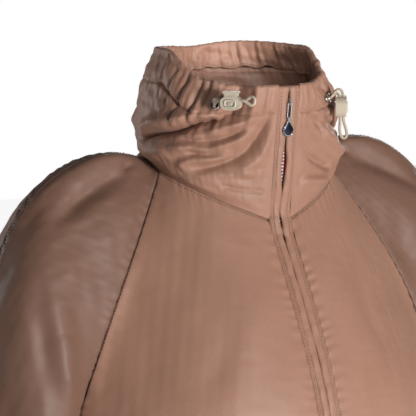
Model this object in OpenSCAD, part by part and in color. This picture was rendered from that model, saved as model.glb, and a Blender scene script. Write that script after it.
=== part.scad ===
// Funnel-neck windbreaker with raglan sleeves, worn open-necked on an unseen body.
// Millimetres. +Z up, the front faces -Y, +X is the wearer's left.
// The origin is the middle of the neck at the height where the jacket rests on the shoulders.

/* [Jacket] */
// Height of the hem's lower edge below the origin
hem_drop = 620; // [600:5:640]
// Half the chest width at the underarm
chest_half_w = 200; // [190:1:210]
// How far the chest stands in front of the origin
chest_front = 162; // [150:1:170]
// How far the back stands behind the origin
back_depth = 126; // [115:1:135]
// Height of the underarm point below the origin
underarm_drop = 300; // [290:1:310]
// Thickness of a stitched panel
cloth_t = 1.6; // [1.2:0.1:2]

/* [Sleeves] */
// Distance from the middle to the outer line of the sleeve at underarm height
sleeve_out = 300; // [290:1:310]
// Height of the cuff's lower edge below the origin
cuff_drop = 636; // [620:2:650]
// Radius of the gathered cuff
cuff_r = 40; // [36:1:44]
// Height of the elasticated cuff
cuff_h = 32; // [24:1:40]

/* [Collar] */
// Half width of the neck seam
neck_a = 100; // [96:1:104]
// Neck seam, front of the origin
neck_front = 70; // [66:1:74]
// Neck seam, behind the origin
neck_back = 80; // [76:1:84]
// Height of the neck seam at the zip, below the origin
neck_drop = 76; // [70:1:80]
// Half width of the gathered rim
rim_a = 83; // [80:1:86]
// Rim, front and back of the origin
rim_b = 86; // [84:1:88]
// Rim height at the front
rim_front_z = 64; // [60:1:68]
// Rim height at the sides and back
rim_back_z = 90; // [86:1:92]
// How far the collar balloons between the seam and the rim
collar_puff = 13; // [8:1:16]

/* [Zip] */
// Width of each stitched facing beside the zip
facing_w = 11; // [10:0.5:12]
// Slit left between the two facings
slit_w = 2.6; // [2.4:0.1:3]
// Length of the zip slider
slider_l = 12; // [10:0.5:14]
// Length of the drop-shaped puller
pull_l = 19; // [17:0.5:21]
// Width of the drop-shaped puller
pull_w = 9.6; // [9:0.1:10.5]

/* [Drawcord] */
// Diameter of the elastic cord
cord_d = 3; // [2.8:0.1:3]
// Angle of each eyelet round the collar from the front
eyelet_angle = 50; // [48:1:52]
// Height of the eyelets
eyelet_z = 43; // [40:1:46]
// Length of a cord lock along its cord
lock_l = 20; // [19:0.5:22]
// How far a cord lock's plunger presses in
press = 2.4; // [2:0.1:2.5]

/* [Hidden] */

brown = [0.62, 0.48, 0.41];
dark_brown = [0.45, 0.34, 0.28];
ivory = [0.93, 0.91, 0.86];
cream = [0.87, 0.81, 0.71];
silver = [0.8, 0.8, 0.82];
red = [0.75, 0.08, 0.1];

seam_gap = 0.5;             // panels stop this far short of a seam
hem_h = 35;                 // height of the hem band
raglan_front = 84;          // angles round the neck, from the front
overarm = 100;
raglan_back = 116;
rim_low_end = 58;           // the rim climbs between these angles
rim_high_start = 92;
underarm = [-chest_half_w, 5, -underarm_drop];
overarm_low = [-sleeve_out, 5, -underarm_drop];
cuff_centre = [-302, -22, -cuff_drop + cuff_h];
hem_top = -hem_drop + hem_h;

// ---- curves ----
function unit(v) = v / norm(v);
function mix(a, b, t) = a + (b - a) * t;
function clamp01(t) = max(0, min(1, t));
function smooth(t) = let (c = clamp01(t)) c * c * (3 - 2 * c);
function bez(a, b, c, d, t) = let (s = 1 - t)
    a * s * s * s + b * 3 * s * s * t + c * 3 * s * t * t + d * t * t * t;
function keys3(a, b, c, t) = t < 0.5 ? mix(a, b, 2 * t) : mix(b, c, clamp01(2 * t - 1));

// Neck seam of the right half: p is the angle from the front (0) to the back (180)
function neck(p) = [-neck_a * sin(p), -(p < 90 ? neck_front : neck_back) * cos(p),
    -neck_drop + 80 * sin(p / 2)];

// Lines down the right half: v is 0 at the neck, 1 at underarm height, 2 at the hem or the cuff
function zip_line(v) = v <= 1
    ? bez([0, -neck_front, -neck_drop], [0, -neck_front - 34, -neck_drop - 64],
        [0, -chest_front + 4, -underarm_drop + 75], [0, -chest_front, -underarm_drop], v)
    : mix([0, -chest_front, -underarm_drop], [0, -chest_front + 14, hem_top], v - 1);
function back_line(v) = v <= 1
    ? bez([0, neck_back, 4], [0, neck_back + 36, -44], [0, back_depth + 4, -180],
        [0, back_depth, -underarm_drop], v)
    : mix([0, back_depth, -underarm_drop], [0, back_depth - 10, hem_top], v - 1);
function side_line(v) = mix(underarm, [-chest_half_w + 8, 2, hem_top], v - 1);
function front_armhole(v) = bez(neck(raglan_front), [-140, -35, -90], [-240, -85, -225], underarm, v);
function back_armhole(v) = bez(neck(raglan_back), [-145, 78, -70], [-235, 112, -210], underarm, v);
function overarm_line(v) = v <= 1
    ? bez(neck(overarm), [-172, 20, 14], [-304, 14, -8], overarm_low, v)
    : bez(overarm_low, overarm_low + [-14, -2, -100], cuff_centre + [-cuff_r - 8, 2, 100],
        cuff_centre + [-cuff_r, 0, 0], v - 1);
function sleeve_seam(v) = bez(underarm, underarm + [-14, 0, -100], cuff_centre + [cuff_r + 8, 2, 100],
    cuff_centre + [cuff_r, 0, 0], v - 1);

// A row of a panel leaves its first edge along t0 and reaches its second along t1.
// Near the neck (low v) the row is pulled on to the neck seam between angles p0 and p1.
function row(e0, t0, e1, t1, u) = bez(e0, e0 + t0, e1 - t1, e1, u);
function to_neck(p0, p1, raw_top, u, v) = pow(1 - clamp01(v / 0.35), 2) * (neck(mix(p0, p1, u)) - raw_top);

first_angle = asin((facing_w + slit_w / 2) / neck_a);
function front_row(u, v) = row(
    zip_line(v) - [facing_w + slit_w / 2, 0, 0], keys3([-40, 0, 6], [-85, -4, 4], [-108, 0, 0], v),
    v <= 1 ? front_armhole(v) : side_line(v),
    keys3([-4, 32, 14], [-52, 14, -6], [0, 92, 0], v), u);
function front_point(u, v) = front_row(u, v)
    + to_neck(first_angle, raglan_front, front_row(u, 0), u, v);

function back_row(u, v) = row(
    v <= 1 ? back_armhole(v) : side_line(v), keys3([10, 22, 4], [46, 40, 4], [0, 78, 0], v),
    back_line(v), keys3([50, 0, 0], [90, 0, 0], [112, 0, 0], v), u);
function back_point(u, v) = back_row(u, v) + to_neck(raglan_back, 180, back_row(u, 0), u, v);

function cuff_pull(v) = mix(1, 0.66, clamp01(v - 1));
function sleeve_front_row(u, v) = row(
    v <= 1 ? front_armhole(v) : sleeve_seam(v),
    cuff_pull(v) * keys3([-2, 7, 2], [-56, 4, 22], [0, -84, 0], v),
    overarm_line(v), cuff_pull(v) * keys3([0, 7, 0], [-2, 50, 4], [0, 84, 0], v), u);
function sleeve_front_point(u, v) = sleeve_front_row(u, v)
    + to_neck(raglan_front, overarm, sleeve_front_row(u, 0), u, v);
function sleeve_back_row(u, v) = row(
    overarm_line(v), cuff_pull(v) * keys3([2, 7, 0], [-2, 52, -4], [0, 80, 0], v),
    v <= 1 ? back_armhole(v) : sleeve_seam(v),
    cuff_pull(v) * keys3([4, 7, -2], [46, 10, -24], [0, -80, 0], v), u);
function sleeve_back_point(u, v) = sleeve_back_row(u, v)
    + to_neck(overarm, raglan_back, sleeve_back_row(u, 0), u, v);

// Collar: q is the angle from the front, negative on the wearer's right; h is 0 at the seam, 1 at the rim
function rim_z(q) = mix(rim_front_z, rim_back_z, smooth((abs(q) - rim_low_end) / (rim_high_start - rim_low_end)));
function collar_half_w(h) = mix(neck_a, rim_a, h) + collar_puff * sin(180 * min(1, h * 1.05));
function collar(q, h, inset = 0) = let (
    a = collar_half_w(h) - inset,
    front = mix(neck_front, rim_b, h) - inset,
    back = mix(neck_back, rim_b, h) + 0.6 * collar_puff * sin(180 * h) - inset,
    b = mix(front, back, smooth((abs(q) - 60) / 60)))
    [a * sin(q), -b * cos(q), mix(neck(abs(q))[2], rim_z(q), h)];

// ---- solids from grids of points ----
function near(g, i, j) = g[max(0, min(len(g) - 1, i))][max(0, min(len(g[0]) - 1, j))];
function grid_normal(g, i, j) = unit(cross(near(g, i, j + 1) - near(g, i, j - 1),
    near(g, i + 1, j) - near(g, i - 1, j)));
function inside(g, t) = [for (i = [0:len(g) - 1]) [for (j = [0:len(g[0]) - 1])
    g[i][j] - t * grid_normal(g, i, j)]];
function flat(g) = [for (r = g) for (p = r) p];

// A curved slab t thick behind an open grid of points
module slab(g, t) {
    n = len(g);
    m = len(g[0]);
    k = n * m;
    polyhedron(points = concat(flat(g), flat(inside(g, t))), faces = concat(
        [for (i = [0:n - 2]) for (j = [0:m - 2]) [i * m + j, i * m + j + 1, (i + 1) * m + j + 1]],
        [for (i = [0:n - 2]) for (j = [0:m - 2]) [i * m + j, (i + 1) * m + j + 1, (i + 1) * m + j]],
        [for (i = [0:n - 2]) for (j = [0:m - 2]) [k + i * m + j, k + (i + 1) * m + j + 1, k + i * m + j + 1]],
        [for (i = [0:n - 2]) for (j = [0:m - 2]) [k + i * m + j, k + (i + 1) * m + j, k + (i + 1) * m + j + 1]],
        [for (j = [0:m - 2]) [j, k + j, k + j + 1]],
        [for (j = [0:m - 2]) [j, k + j + 1, j + 1]],
        [for (j = [0:m - 2]) let (s = (n - 1) * m) [s + j, k + s + j + 1, k + s + j]],
        [for (j = [0:m - 2]) let (s = (n - 1) * m) [s + j, s + j + 1, k + s + j + 1]],
        [for (i = [0:n - 2]) [i * m, k + (i + 1) * m, k + i * m]],
        [for (i = [0:n - 2]) [i * m, (i + 1) * m, k + (i + 1) * m]],
        [for (i = [0:n - 2]) let (s = m - 1) [i * m + s, k + i * m + s, k + (i + 1) * m + s]],
        [for (i = [0:n - 2]) let (s = m - 1) [i * m + s, k + (i + 1) * m + s, (i + 1) * m + s]]));
}

// A bar whose section (a list of rings of points) is swept from the first ring to the last
module swept(rings, closed = false) {
    n = len(rings);
    s = len(rings[0]);
    last = closed ? n - 1 : n - 2;
    side = [for (i = [0:last]) for (j = [0:s - 1]) let (a = i * s, b = ((i + 1) % n) * s, j2 = (j + 1) % s)
        each [[a + j, b + j2, a + j2], [a + j, b + j, b + j2]]];
    caps = closed ? [] : [[for (j = [0:s - 1]) j], [for (j = [s - 1:-1:0]) (n - 1) * s + j]];
    polyhedron(points = flat(rings), faces = concat(side, caps));
}

// A round cord along a route of points
module tube(route, d, sides = 8) {
    n = len(route);
    swept([for (i = [0:n - 1])
        let (t = unit(route[min(n - 1, i + 1)] - route[max(0, i - 1)]),
            x = unit(cross(t, abs(t[2]) < 0.9 ? [0, 0, 1] : [0, 1, 0])), y = cross(t, x))
        [for (j = [0:sides - 1]) let (w = -360 * j / sides)
            route[i] + d / 2 * (cos(w) * x + sin(w) * y)]]);
}

// ---- panels ----
rows_down = [for (i = [0:26]) i < 16 ? i / 16 : 1 + (i - 16) / 10];
edge_u = 0.004;
function down(v) = max(0.006, min(1.997, v));
function panel_grid(kind, u0, u1, n) = [for (v = rows_down) [for (j = [0:n])
    let (u = mix(u0, u1, j / n)) kind == "front" ? front_point(u, down(v))
        : kind == "sleeve_front" ? sleeve_front_point(u, down(v)) : sleeve_back_point(u, down(v))]];

module front_panel() color(brown) slab(panel_grid("front", edge_u, 1 - edge_u, 12), cloth_t);
module sleeve_front() color(dark_brown) slab(panel_grid("sleeve_front", edge_u, 1 - edge_u, 9), cloth_t);
module sleeve_back() color(dark_brown) slab(panel_grid("sleeve_back", edge_u, 1 - edge_u, 9), cloth_t);
module front_right_panel() front_panel();
module front_left_panel() mirror([1, 0, 0]) front_panel();
module right_sleeve_front() sleeve_front();
module left_sleeve_front() mirror([1, 0, 0]) sleeve_front();
module right_sleeve_back() sleeve_back();
module left_sleeve_back() mirror([1, 0, 0]) sleeve_back();

module back_panel() {
    half = 11;
    color(brown) slab([for (v = rows_down) [for (j = [0:2 * half])
        let (w = j <= half ? j / half : 2 - j / half, p = back_point(mix(edge_u, 1, w), down(v)))
        j <= half ? p : [-p[0], p[1], p[2]]]], cloth_t);
}

// ---- cuffs and hem: rings of rectangular section ----
// grow is the outward offset at the top and the bottom of the ring
function ring_section(c, rx, ry, w, z0, z1, outer, inner) = let (e = [cos(w), sin(w)])
    [[c[0] + (rx + inner) * e[0], c[1] + (ry + inner) * e[1], z0],
     [c[0] + (rx + inner) * e[0], c[1] + (ry + inner) * e[1], z1],
     [c[0] + (rx + outer) * e[0], c[1] + (ry + outer) * e[1], z1],
     [c[0] + (rx + outer) * e[0], c[1] + (ry + outer) * e[1], z0]];
ring_steps = 40;
cuff_mouth_ry = 42;
module cuff_ring(outer, inner, z0, z1) swept([for (i = [0:ring_steps - 1])
    ring_section(cuff_centre, cuff_r, cuff_mouth_ry, 360 * i / ring_steps, z0, z1, outer, inner)], true);
module cuff_band() color(brown) cuff_ring(1, -cloth_t + 0.4, -cuff_drop, cuff_centre[2] - seam_gap);
module cuff_elastic() color(ivory) cuff_ring(-1.5, -3, -cuff_drop + 5, -cuff_drop + 25);
module right_cuff() cuff_band();
module left_cuff() mirror([1, 0, 0]) cuff_band();
module right_cuff_elastic() cuff_elastic();
module left_cuff_elastic() mirror([1, 0, 0]) cuff_elastic();

// The hem follows the lower edge of the front, side and back rows, from the zip round to the zip
function hem_point(w, inset) = let (
    p = w < 0.5 ? front_point(2 * w, 2) : back_point(2 * w - 1, 2), c = [0, -10, hem_top], d = unit(p - c))
    p - inset * d;
hem_steps = 22;
function hem_run(inset, z, w0) = [for (i = [0:2 * hem_steps])
    let (w = mix(w0, 1, i <= hem_steps ? i / hem_steps : 2 - i / hem_steps), p = hem_point(w, inset))
    [i <= hem_steps ? p[0] : -p[0], p[1], z]];
module hem_strip(outer, inner, z0, z1, w0) {
    a = hem_run(outer, z0, w0);
    b = hem_run(inner, z0, w0);
    swept([for (i = [0:2 * hem_steps]) [b[i], a[i], [a[i][0], a[i][1], z1], [b[i][0], b[i][1], z1]]]);
}
module hem_band() color(brown) hem_strip(0, cloth_t, -hem_drop, hem_top - seam_gap, 0.004);
module hem_elastic() color(ivory) hem_strip(cloth_t + 0.4, cloth_t + 2, -hem_drop + 5, hem_top - 5, 0.03);

// ---- collar ----
collar_steps = 46;
collar_front_x = facing_w + slit_w / 2 + seam_gap;
lining_front_x = collar_front_x + 2;
tunnel_gap = 6.4;           // room for the cord between the collar's two layers
collar_t = 1.4;
lining_t = 1.2;
lining_inset = collar_t + tunnel_gap;
function collar_row(front_x, h, inset) = let (first = asin(front_x / (collar_half_w(h) - inset)))
    [for (i = [0:collar_steps]) let (q = mix(first, 360 - first, i / collar_steps))
        collar(q > 180 ? q - 360 : q, h, inset)];
function collar_grid(front_x, inset) = [for (h = [10:-1:0]) collar_row(front_x, max(0.012, h / 10), inset)];
module collar_outer() color(brown) difference() {
    slab(collar_grid(collar_front_x, 0), collar_t);
    for (side = [-1, 1]) at_eyelet_face(side) rotate([90, 0, 0]) translate([0, 0, -4])
        cylinder(d = barrel_d + 0.4, h = 8, $fn = 48);
}
module collar_lining() color(dark_brown) slab(collar_grid(lining_front_x, lining_inset), lining_t);

// Cord in the tunnel, at eyelet height below the rim, from one eyelet round the back to the other
tunnel_below_rim = rim_front_z - eyelet_z;
cord_gap = 1.1;             // between the cord in the tunnel and the outer layer
cord_inset = collar_t + cord_gap + cord_d / 2;
tunnel_steps = 44;
function tunnel_point(q) = let (
    h = 1 - tunnel_below_rim / (rim_z(q) - neck(abs(q))[2])) collar(q, h, cord_inset);
module collar_drawcord() color(cream) tube([for (i = [0:tunnel_steps])
    let (q = mix(-eyelet_angle, -360 + eyelet_angle, i / tunnel_steps))
    tunnel_point(q < -180 ? q + 360 : q)], cord_d);

// Hanger loop: a flat tape arch inside the back of the neck
loop_w = 60;
loop_drop = 22;
loop_t = 1.2;
loop_tape = 5;
loop_stand_off = 7;         // how far the arch stands in front of its ends
loop_end_h = 0.16;
loop_end = collar(180 - asin(loop_w / 2 / neck_a), loop_end_h, lining_inset + lining_t - 0.4);
function loop_path(t) = [mix(loop_w / 2, -loop_w / 2, t), loop_end[1] - loop_stand_off * sin(180 * t),
    loop_end[2] - loop_drop * sin(180 * t)];
module hanger_loop() {
    steps = 16;
    color(dark_brown) swept([for (i = [0:steps]) let (p = loop_path(i / steps), r = loop_tape / 2)
        [p + [0, 0, -r], p + [0, 0, r], p + [0, -loop_t, r], p + [0, -loop_t, -r]]]);
}

// ---- zip ----
// Path in the plane x = 0 from the rim to the hem: points [y, z]; straight over the collar
zip_top = [-rim_b, rim_front_z + 2];
zip_bend = [-neck_front, -neck_drop];
straight_steps = 12;
chest_steps = 26;
straight = [for (i = [0:straight_steps - 1]) mix(zip_top, zip_bend, 0.93 * i / (straight_steps - 1))];
chest = [for (i = [1:chest_steps]) let (p = zip_line(0.05 + 1.95 * i / chest_steps)) [p[1], p[2]]];
zip_path = concat(straight, chest, [[-chest_front + 14, -hem_drop + 6]]);
function path_out(path, i) = let (n = len(path), d = path[min(n - 1, i + 1)] - path[max(0, i - 1)])
    unit([d[1], -d[0]]);
// A strip from x0 to x1, between depths w0 and w1 inside the outer face, on the wearer's right
module zip_strip(x0, x1, w0, w1, last = len(zip_path) - 1, first = 0) {
    swept([for (i = [first:last]) let (p = zip_path[i], o = path_out(zip_path, i),
            a = p - w0 * o, b = p - w1 * o)
        [[-x0, a[0], a[1]], [-x1, a[0], a[1]], [-x1, b[0], b[1]], [-x0, b[0], b[1]]]]);
}
coil_in = 0.5;
coil_w = 2.3;
plate_t = 1.1;
coil_depth = 3.4;           // depth of the coil's outer face
coil_t = 2.4;
tape_w = 10;
module facing() color(brown) zip_strip(slit_w / 2, slit_w / 2 + facing_w, 0, 1.5);
module tape() color(red) zip_strip(coil_in + coil_w + 0.1, coil_in + coil_w + tape_w,
    coil_depth + 0.8, coil_depth + 1.6, len(zip_path) - 2);
module coil() color("black") zip_strip(coil_in, coil_in + coil_w, coil_depth, coil_depth + coil_t,
    len(zip_path) - 2, 1);
module zip_facing_right() facing();
module zip_facing_left() mirror([1, 0, 0]) facing();
module zip_tape_right() tape();
module zip_tape_left() mirror([1, 0, 0]) tape();
module zip_coil_right() coil();
module zip_coil_left() mirror([1, 0, 0]) coil();

// Frame on the collar's straight stretch: local x stays X, local y points inwards, local z up the zip
zip_lean = atan2(zip_bend[0] - zip_top[0], zip_top[1] - zip_bend[1]);
module on_zip(down_from_top) translate([0, zip_top[0], zip_top[1]]) rotate([zip_lean, 0, 0])
    translate([0, 0, -down_from_top]) children();
// Frame at the zip's lower end
module on_hem_end() translate([0, -chest_front + 14, -hem_drop + 6]) children();

slider_top = 14;            // distance of the slider's upper edge below the top of the zip
slider_w = 8.4;
bridge_w = 1.8;
link_pivot_down = slider_top + 8;
link_pivot_out = 2.6;
module box(x, y, z, at) translate(at) translate([-x / 2, -y / 2, -z / 2]) cube([x, y, z]);
link_pin_d = 1.8;
running = 0.08;             // radial clearance of a pin in its hole
module zip_slider() color(silver) on_zip(slider_top + slider_l / 2) {
    box(slider_w, plate_t, slider_l, [0, coil_depth - 0.35 - plate_t / 2, 0]);
    box(slider_w, plate_t, slider_l, [0, coil_depth + coil_t + 0.35 + plate_t / 2, 0]);
    box(0.6, coil_t + 1.4, 3, [0, coil_depth + coil_t / 2, slider_l / 2 - 1.5]);
    difference() {
        box(bridge_w, 7, 7, [0, -1.2, -1]);
        translate([-5, -link_pivot_out, -2]) rotate([0, 90, 0])
            cylinder(d = link_pin_d + 2 * running, h = 10, $fn = 32);
    }
}
link_l = 14;
wire = 0.75;
module slider_link() color(silver) on_zip(link_pivot_down) translate([0, -link_pivot_out, 0]) {
    rotate([0, 90, 0]) translate([0, 0, -2.6]) cylinder(d = link_pin_d, h = 5.2, $fn = 32);
    for (s = [-1, 1]) translate([s * 2.1, 0, -link_l]) cylinder(r = wire, h = link_l, $fn = 24);
    translate([-2.6, 0, -link_l]) rotate([0, 90, 0]) cylinder(r = wire, h = 5.2, $fn = 24);
}
pull_t = 1.8;
pull_neck_w = 2.3;
pull_ear_r = 1.45;
// Drop-shaped puller: an ear round the link's lower bar, a neck and a flat drop
module slider_pull() color(silver) on_zip(link_pivot_down + link_l) translate([0, -link_pivot_out, 0])
    difference() {
        union() {
            rotate([0, 90, 0]) translate([0, 0, -pull_neck_w / 2]) cylinder(r = pull_ear_r, h = pull_neck_w, $fn = 32);
            box(pull_neck_w, pull_t, 4, [0, 0, -2]);
            rotate([90, 0, 0]) translate([0, 0, -pull_t / 2]) hull() {
                translate([0, -4, 0]) cylinder(r = 1.6, h = pull_t, $fn = 32);
                translate([0, -pull_l + pull_w / 2, 0]) cylinder(r = pull_w / 2, h = pull_t, $fn = 32);
            }
        }
        rotate([0, 90, 0]) translate([0, 0, -4]) cylinder(r = wire + running, h = 8, $fn = 32);
    }
module zip_top_stops() color(silver) on_zip(7)
    for (s = [-1, 1]) box(coil_w, coil_t, 4, [s * (coil_in + coil_w / 2), coil_depth + coil_t / 2, 8]);
module zip_insertion_pin() color(silver) on_hem_end()
    box(1.6, 2, 20, [-coil_in - 1.3, coil_depth + coil_t / 2, 7.2]);
module zip_retainer_box() color(silver) on_hem_end() difference() {
    box(10, 5, 12, [0, coil_depth + coil_t / 2, 1]);
    box(3.4, 2.6, 12.2, [-1.4, coil_depth + coil_t / 2, 3]);
}

// ---- eyelets, cords and cord locks ----
// Frame at an eyelet: local x runs round the collar towards the wearer's left, local -y points outwards
eyelet_at = tunnel_point(-eyelet_angle);
eyelet_r = norm([eyelet_at[0], eyelet_at[1]]) + cord_inset;
module at_eyelet(side) rotate([0, 0, side * eyelet_angle]) translate([0, -eyelet_r, eyelet_z]) children();
// The same place tilted to the collar's slope there
eyelet_tilt = 14;
module at_eyelet_face(side) at_eyelet(side) rotate([-eyelet_tilt, 0, 0]) children();
eyelet_d = 10;
barrel_d = 8.2;
eyelet_hole = 7;
module ring(d, hole, t) rotate([90, 0, 0]) difference() {
    cylinder(d = d, h = t, $fn = 48);
    translate([0, 0, -1]) cylinder(d = hole, h = t + 2, $fn = 48);
}
module eyelet(side) color(silver) at_eyelet_face(side) {
    translate([0, -1.3, 0]) ring(eyelet_d, eyelet_hole, 0.8);
    translate([0, 1.8, 0]) ring(barrel_d, eyelet_hole, 3.4);
}
module washer(side) color(silver) at_eyelet_face(side) translate([0, 2.4, 0]) ring(eyelet_d, eyelet_hole, 0.5);
module eyelet_right() eyelet(-1);
module eyelet_left() eyelet(1);
module eyelet_washer_right() washer(-1);
module eyelet_washer_left() washer(1);

// Free cord loops, in the eyelet's frame: out, through the lock, round the loop and back
right_route = [[0, 0, -1.6], [0.3, -3.6, -0.7], [1.8, -8, 1.2], [4, -10.6, 3.6], [7, -11.4, 5.6], [10, -11.4, 6],
    [16, -11.4, 6], [22, -11.4, 6], [28, -11.4, 6], [33, -11.4, 6.2], [36.5, -11.6, 8.2],
    [39.6, -12, 9.8], [42.4, -13, 8.4], [43, -13.2, 6], [42.4, -13.4, 3.6], [39.6, -14, 2.2],
    [36.5, -14.4, 3.8], [33, -14.6, 5.8], [28, -14.6, 6], [22, -14.6, 6], [16, -14.6, 6],
    [10, -14.6, 6], [7, -14.2, 6.4], [3.6, -12.4, 6.6], [1.4, -8.4, 5.2], [0.3, -3.6, 2.5], [0, 0, 1.6]];
left_route = [[-1.6, 0, 0], [-1.6, -3, 0.8], [-1.6, -5.4, 4], [-1.2, -8.4, 7.8], [-0.6, -11.6, 8.4],
    [-0.2, -14, 6], [0.2, -15.1, 1.6], [1.3, -15.1, -2.2], [3, -15.1, -8], [4.7, -15.1, -13.8],
    [6.4, -15.1, -19.6], [7.8, -15.6, -24.6], [9.4, -17.2, -30], [11, -18.4, -35.4], [12.2, -17.8, -39.4],
    [12.8, -15.6, -41.2], [12.6, -13.2, -40], [11.6, -11.8, -36.4], [10.2, -11.4, -31], [8.6, -11.7, -25.4],
    [6.4, -11.9, -19.6], [4.7, -11.9, -13.8], [3, -11.9, -8], [1.3, -11.9, -2.2], [0.2, -11.5, 1.6],
    [0.8, -9.6, 4.2], [1.4, -6.6, 4], [1.6, -3.6, 1.4], [1.6, 0, 0]];
module cord_loop_right() color(cream) at_eyelet(-1) tube(right_route, cord_d);
module cord_loop_left() color(cream) at_eyelet(1) tube(left_route, cord_d);

// A cord lock: local x along its two cords, which lie side by side in local y; the plunger presses in -z
lock_t = 10.8;
lock_h = 13;
lock_mid_z = -2.5;
lock_floor = -7.6;
lock_cavity = [13, 8.8];
slot_y = 6.7;
slot_z = 3.5;
module stadium(l, h, t) rotate([90, 0, 0]) translate([0, 0, -t / 2]) {
    for (s = [-1, 1]) translate([s * (l - h) / 2, 0, 0]) cylinder(d = h, h = t, $fn = 48);
    translate([-(l - h) / 2, -h / 2, 0]) cube([l - h, h, t]);
}
module lock_body() color(ivory) difference() {
    translate([0, 0, lock_mid_z]) stadium(lock_l, lock_h, lock_t);
    translate([-lock_cavity[0] / 2, -lock_cavity[1] / 2, lock_floor]) cube([lock_cavity[0], lock_cavity[1], 14]);
    box(lock_l + 2, slot_y, slot_z, [0, 0, 0]);
    box(7, 1, 4.6, [0, -lock_t / 2, -4.6]);
}
stem_bottom = -2.8;
stem_top = 7;
head_h = 2;
module lock_plunger() color(ivory) {
    difference() {
        box(12.6, 8.4, stem_top - stem_bottom, [0, 0, (stem_top + stem_bottom) / 2]);
        box(14, slot_y, slot_z + press, [0, 0, press / 2]);
    }
    box(15, 9.4, head_h, [0, 0, stem_top + head_h / 2 - 0.1]);
}
spring_turns = 3;
spring_steps = 30;
spring_r = 1.9;
spring_l = 3.9;
module lock_spring() color(silver) tube([for (i = [0:spring_steps]) let (w = 360 * spring_turns * i / spring_steps)
    [spring_r * cos(w), spring_r * sin(w), lock_floor + 0.45 + spring_l * i / spring_steps]], 0.5, 6);
left_lock_turn = 73.7;
module at_right_lock() at_eyelet(-1) translate([20, -13, 6]) children();
module at_left_lock() at_eyelet(1) translate([3, -13.5, -8]) rotate([0, left_lock_turn, 0]) children();
module cord_lock_body_right() at_right_lock() lock_body();
module cord_lock_body_left() at_left_lock() lock_body();
module cord_lock_plunger_right() at_right_lock() lock_plunger();
module cord_lock_plunger_left() at_left_lock() lock_plunger();
module cord_lock_spring_right() at_right_lock() lock_spring();
module cord_lock_spring_left() at_left_lock() lock_spring();

front_right_panel();
front_left_panel();
back_panel();
right_sleeve_front();
right_sleeve_back();
left_sleeve_front();
left_sleeve_back();
right_cuff();
left_cuff();
right_cuff_elastic();
left_cuff_elastic();
hem_band();
hem_elastic();
collar_outer();
collar_lining();
collar_drawcord();
hanger_loop();
zip_facing_right();
zip_facing_left();
zip_tape_right();
zip_tape_left();
zip_coil_right();
zip_coil_left();
zip_top_stops();
zip_insertion_pin();
zip_retainer_box();
zip_slider();
slider_link();
slider_pull();
eyelet_right();
eyelet_left();
eyelet_washer_right();
eyelet_washer_left();
cord_loop_right();
cord_loop_left();
cord_lock_body_right();
cord_lock_body_left();
cord_lock_plunger_right();
cord_lock_plunger_left();
cord_lock_spring_right();
cord_lock_spring_left();
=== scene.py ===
"""Funnel-neck raglan windbreaker: fabric, cords, zip and finishes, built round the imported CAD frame."""
import math

import bmesh
import bpy
import numpy as np
from mathutils import Matrix, Vector


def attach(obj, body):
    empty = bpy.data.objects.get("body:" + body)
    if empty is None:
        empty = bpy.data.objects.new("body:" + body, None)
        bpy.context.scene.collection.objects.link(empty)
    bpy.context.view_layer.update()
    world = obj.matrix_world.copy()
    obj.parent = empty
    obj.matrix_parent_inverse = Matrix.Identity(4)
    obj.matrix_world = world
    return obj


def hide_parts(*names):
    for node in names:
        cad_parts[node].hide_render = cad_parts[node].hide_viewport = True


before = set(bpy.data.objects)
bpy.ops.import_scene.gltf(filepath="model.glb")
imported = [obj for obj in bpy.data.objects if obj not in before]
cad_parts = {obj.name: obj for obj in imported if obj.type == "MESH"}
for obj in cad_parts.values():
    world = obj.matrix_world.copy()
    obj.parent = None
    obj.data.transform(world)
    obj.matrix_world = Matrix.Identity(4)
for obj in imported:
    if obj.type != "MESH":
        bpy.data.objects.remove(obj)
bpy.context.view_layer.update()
MM = 0.001
SEED = 7

# ------------------------------------------------------------------ camera and light
AZIMUTH = math.radians(-34)
ELEVATION = math.radians(8)
DISTANCE = 2200 * MM
FRAME_WIDTH = 416 * MM      # what the picture spans at the neck's distance
SENSOR = 36.0


def camera_axes():
    right = Vector((math.cos(AZIMUTH), math.sin(AZIMUTH), 0))
    ahead = Vector((-math.sin(AZIMUTH) * math.cos(ELEVATION), math.cos(AZIMUTH) * math.cos(ELEVATION),
                    -math.sin(ELEVATION)))
    return right, right.cross(ahead), ahead


def make_camera():
    right, up, ahead = camera_axes()
    centre = right * (-31 * MM) + up * (-68 * MM)
    data = bpy.data.cameras.new("camera")
    data.sensor_width = SENSOR
    data.lens = SENSOR * DISTANCE / FRAME_WIDTH
    data.clip_end = 20
    camera = bpy.data.objects.new("camera", data)
    camera.matrix_world = Matrix.Translation(centre - ahead * DISTANCE) @ Matrix(
        (right, up, -ahead)).transposed().to_4x4()
    bpy.context.scene.collection.objects.link(camera)
    bpy.context.scene.camera = camera


def area_light(name, at, aim, size, power, colour=(1, 1, 1)):
    data = bpy.data.lights.new(name, "AREA")
    data.size = size
    data.energy = power
    data.color = colour
    light = bpy.data.objects.new(name, data)
    light.location = at
    light.rotation_euler = (Vector(aim) - Vector(at)).to_track_quat("-Z", "Y").to_euler()
    bpy.context.scene.collection.objects.link(light)


def spot_light(name, at, aim, degrees, power):
    data = bpy.data.lights.new(name, "SPOT")
    data.spot_size = math.radians(degrees)
    data.spot_blend = 1.0
    data.shadow_soft_size = 0.05
    data.energy = power
    light = bpy.data.objects.new(name, data)
    light.location = at
    light.rotation_euler = (Vector(aim) - Vector(at)).to_track_quat("-Z", "Y").to_euler()
    bpy.context.scene.collection.objects.link(light)


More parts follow.
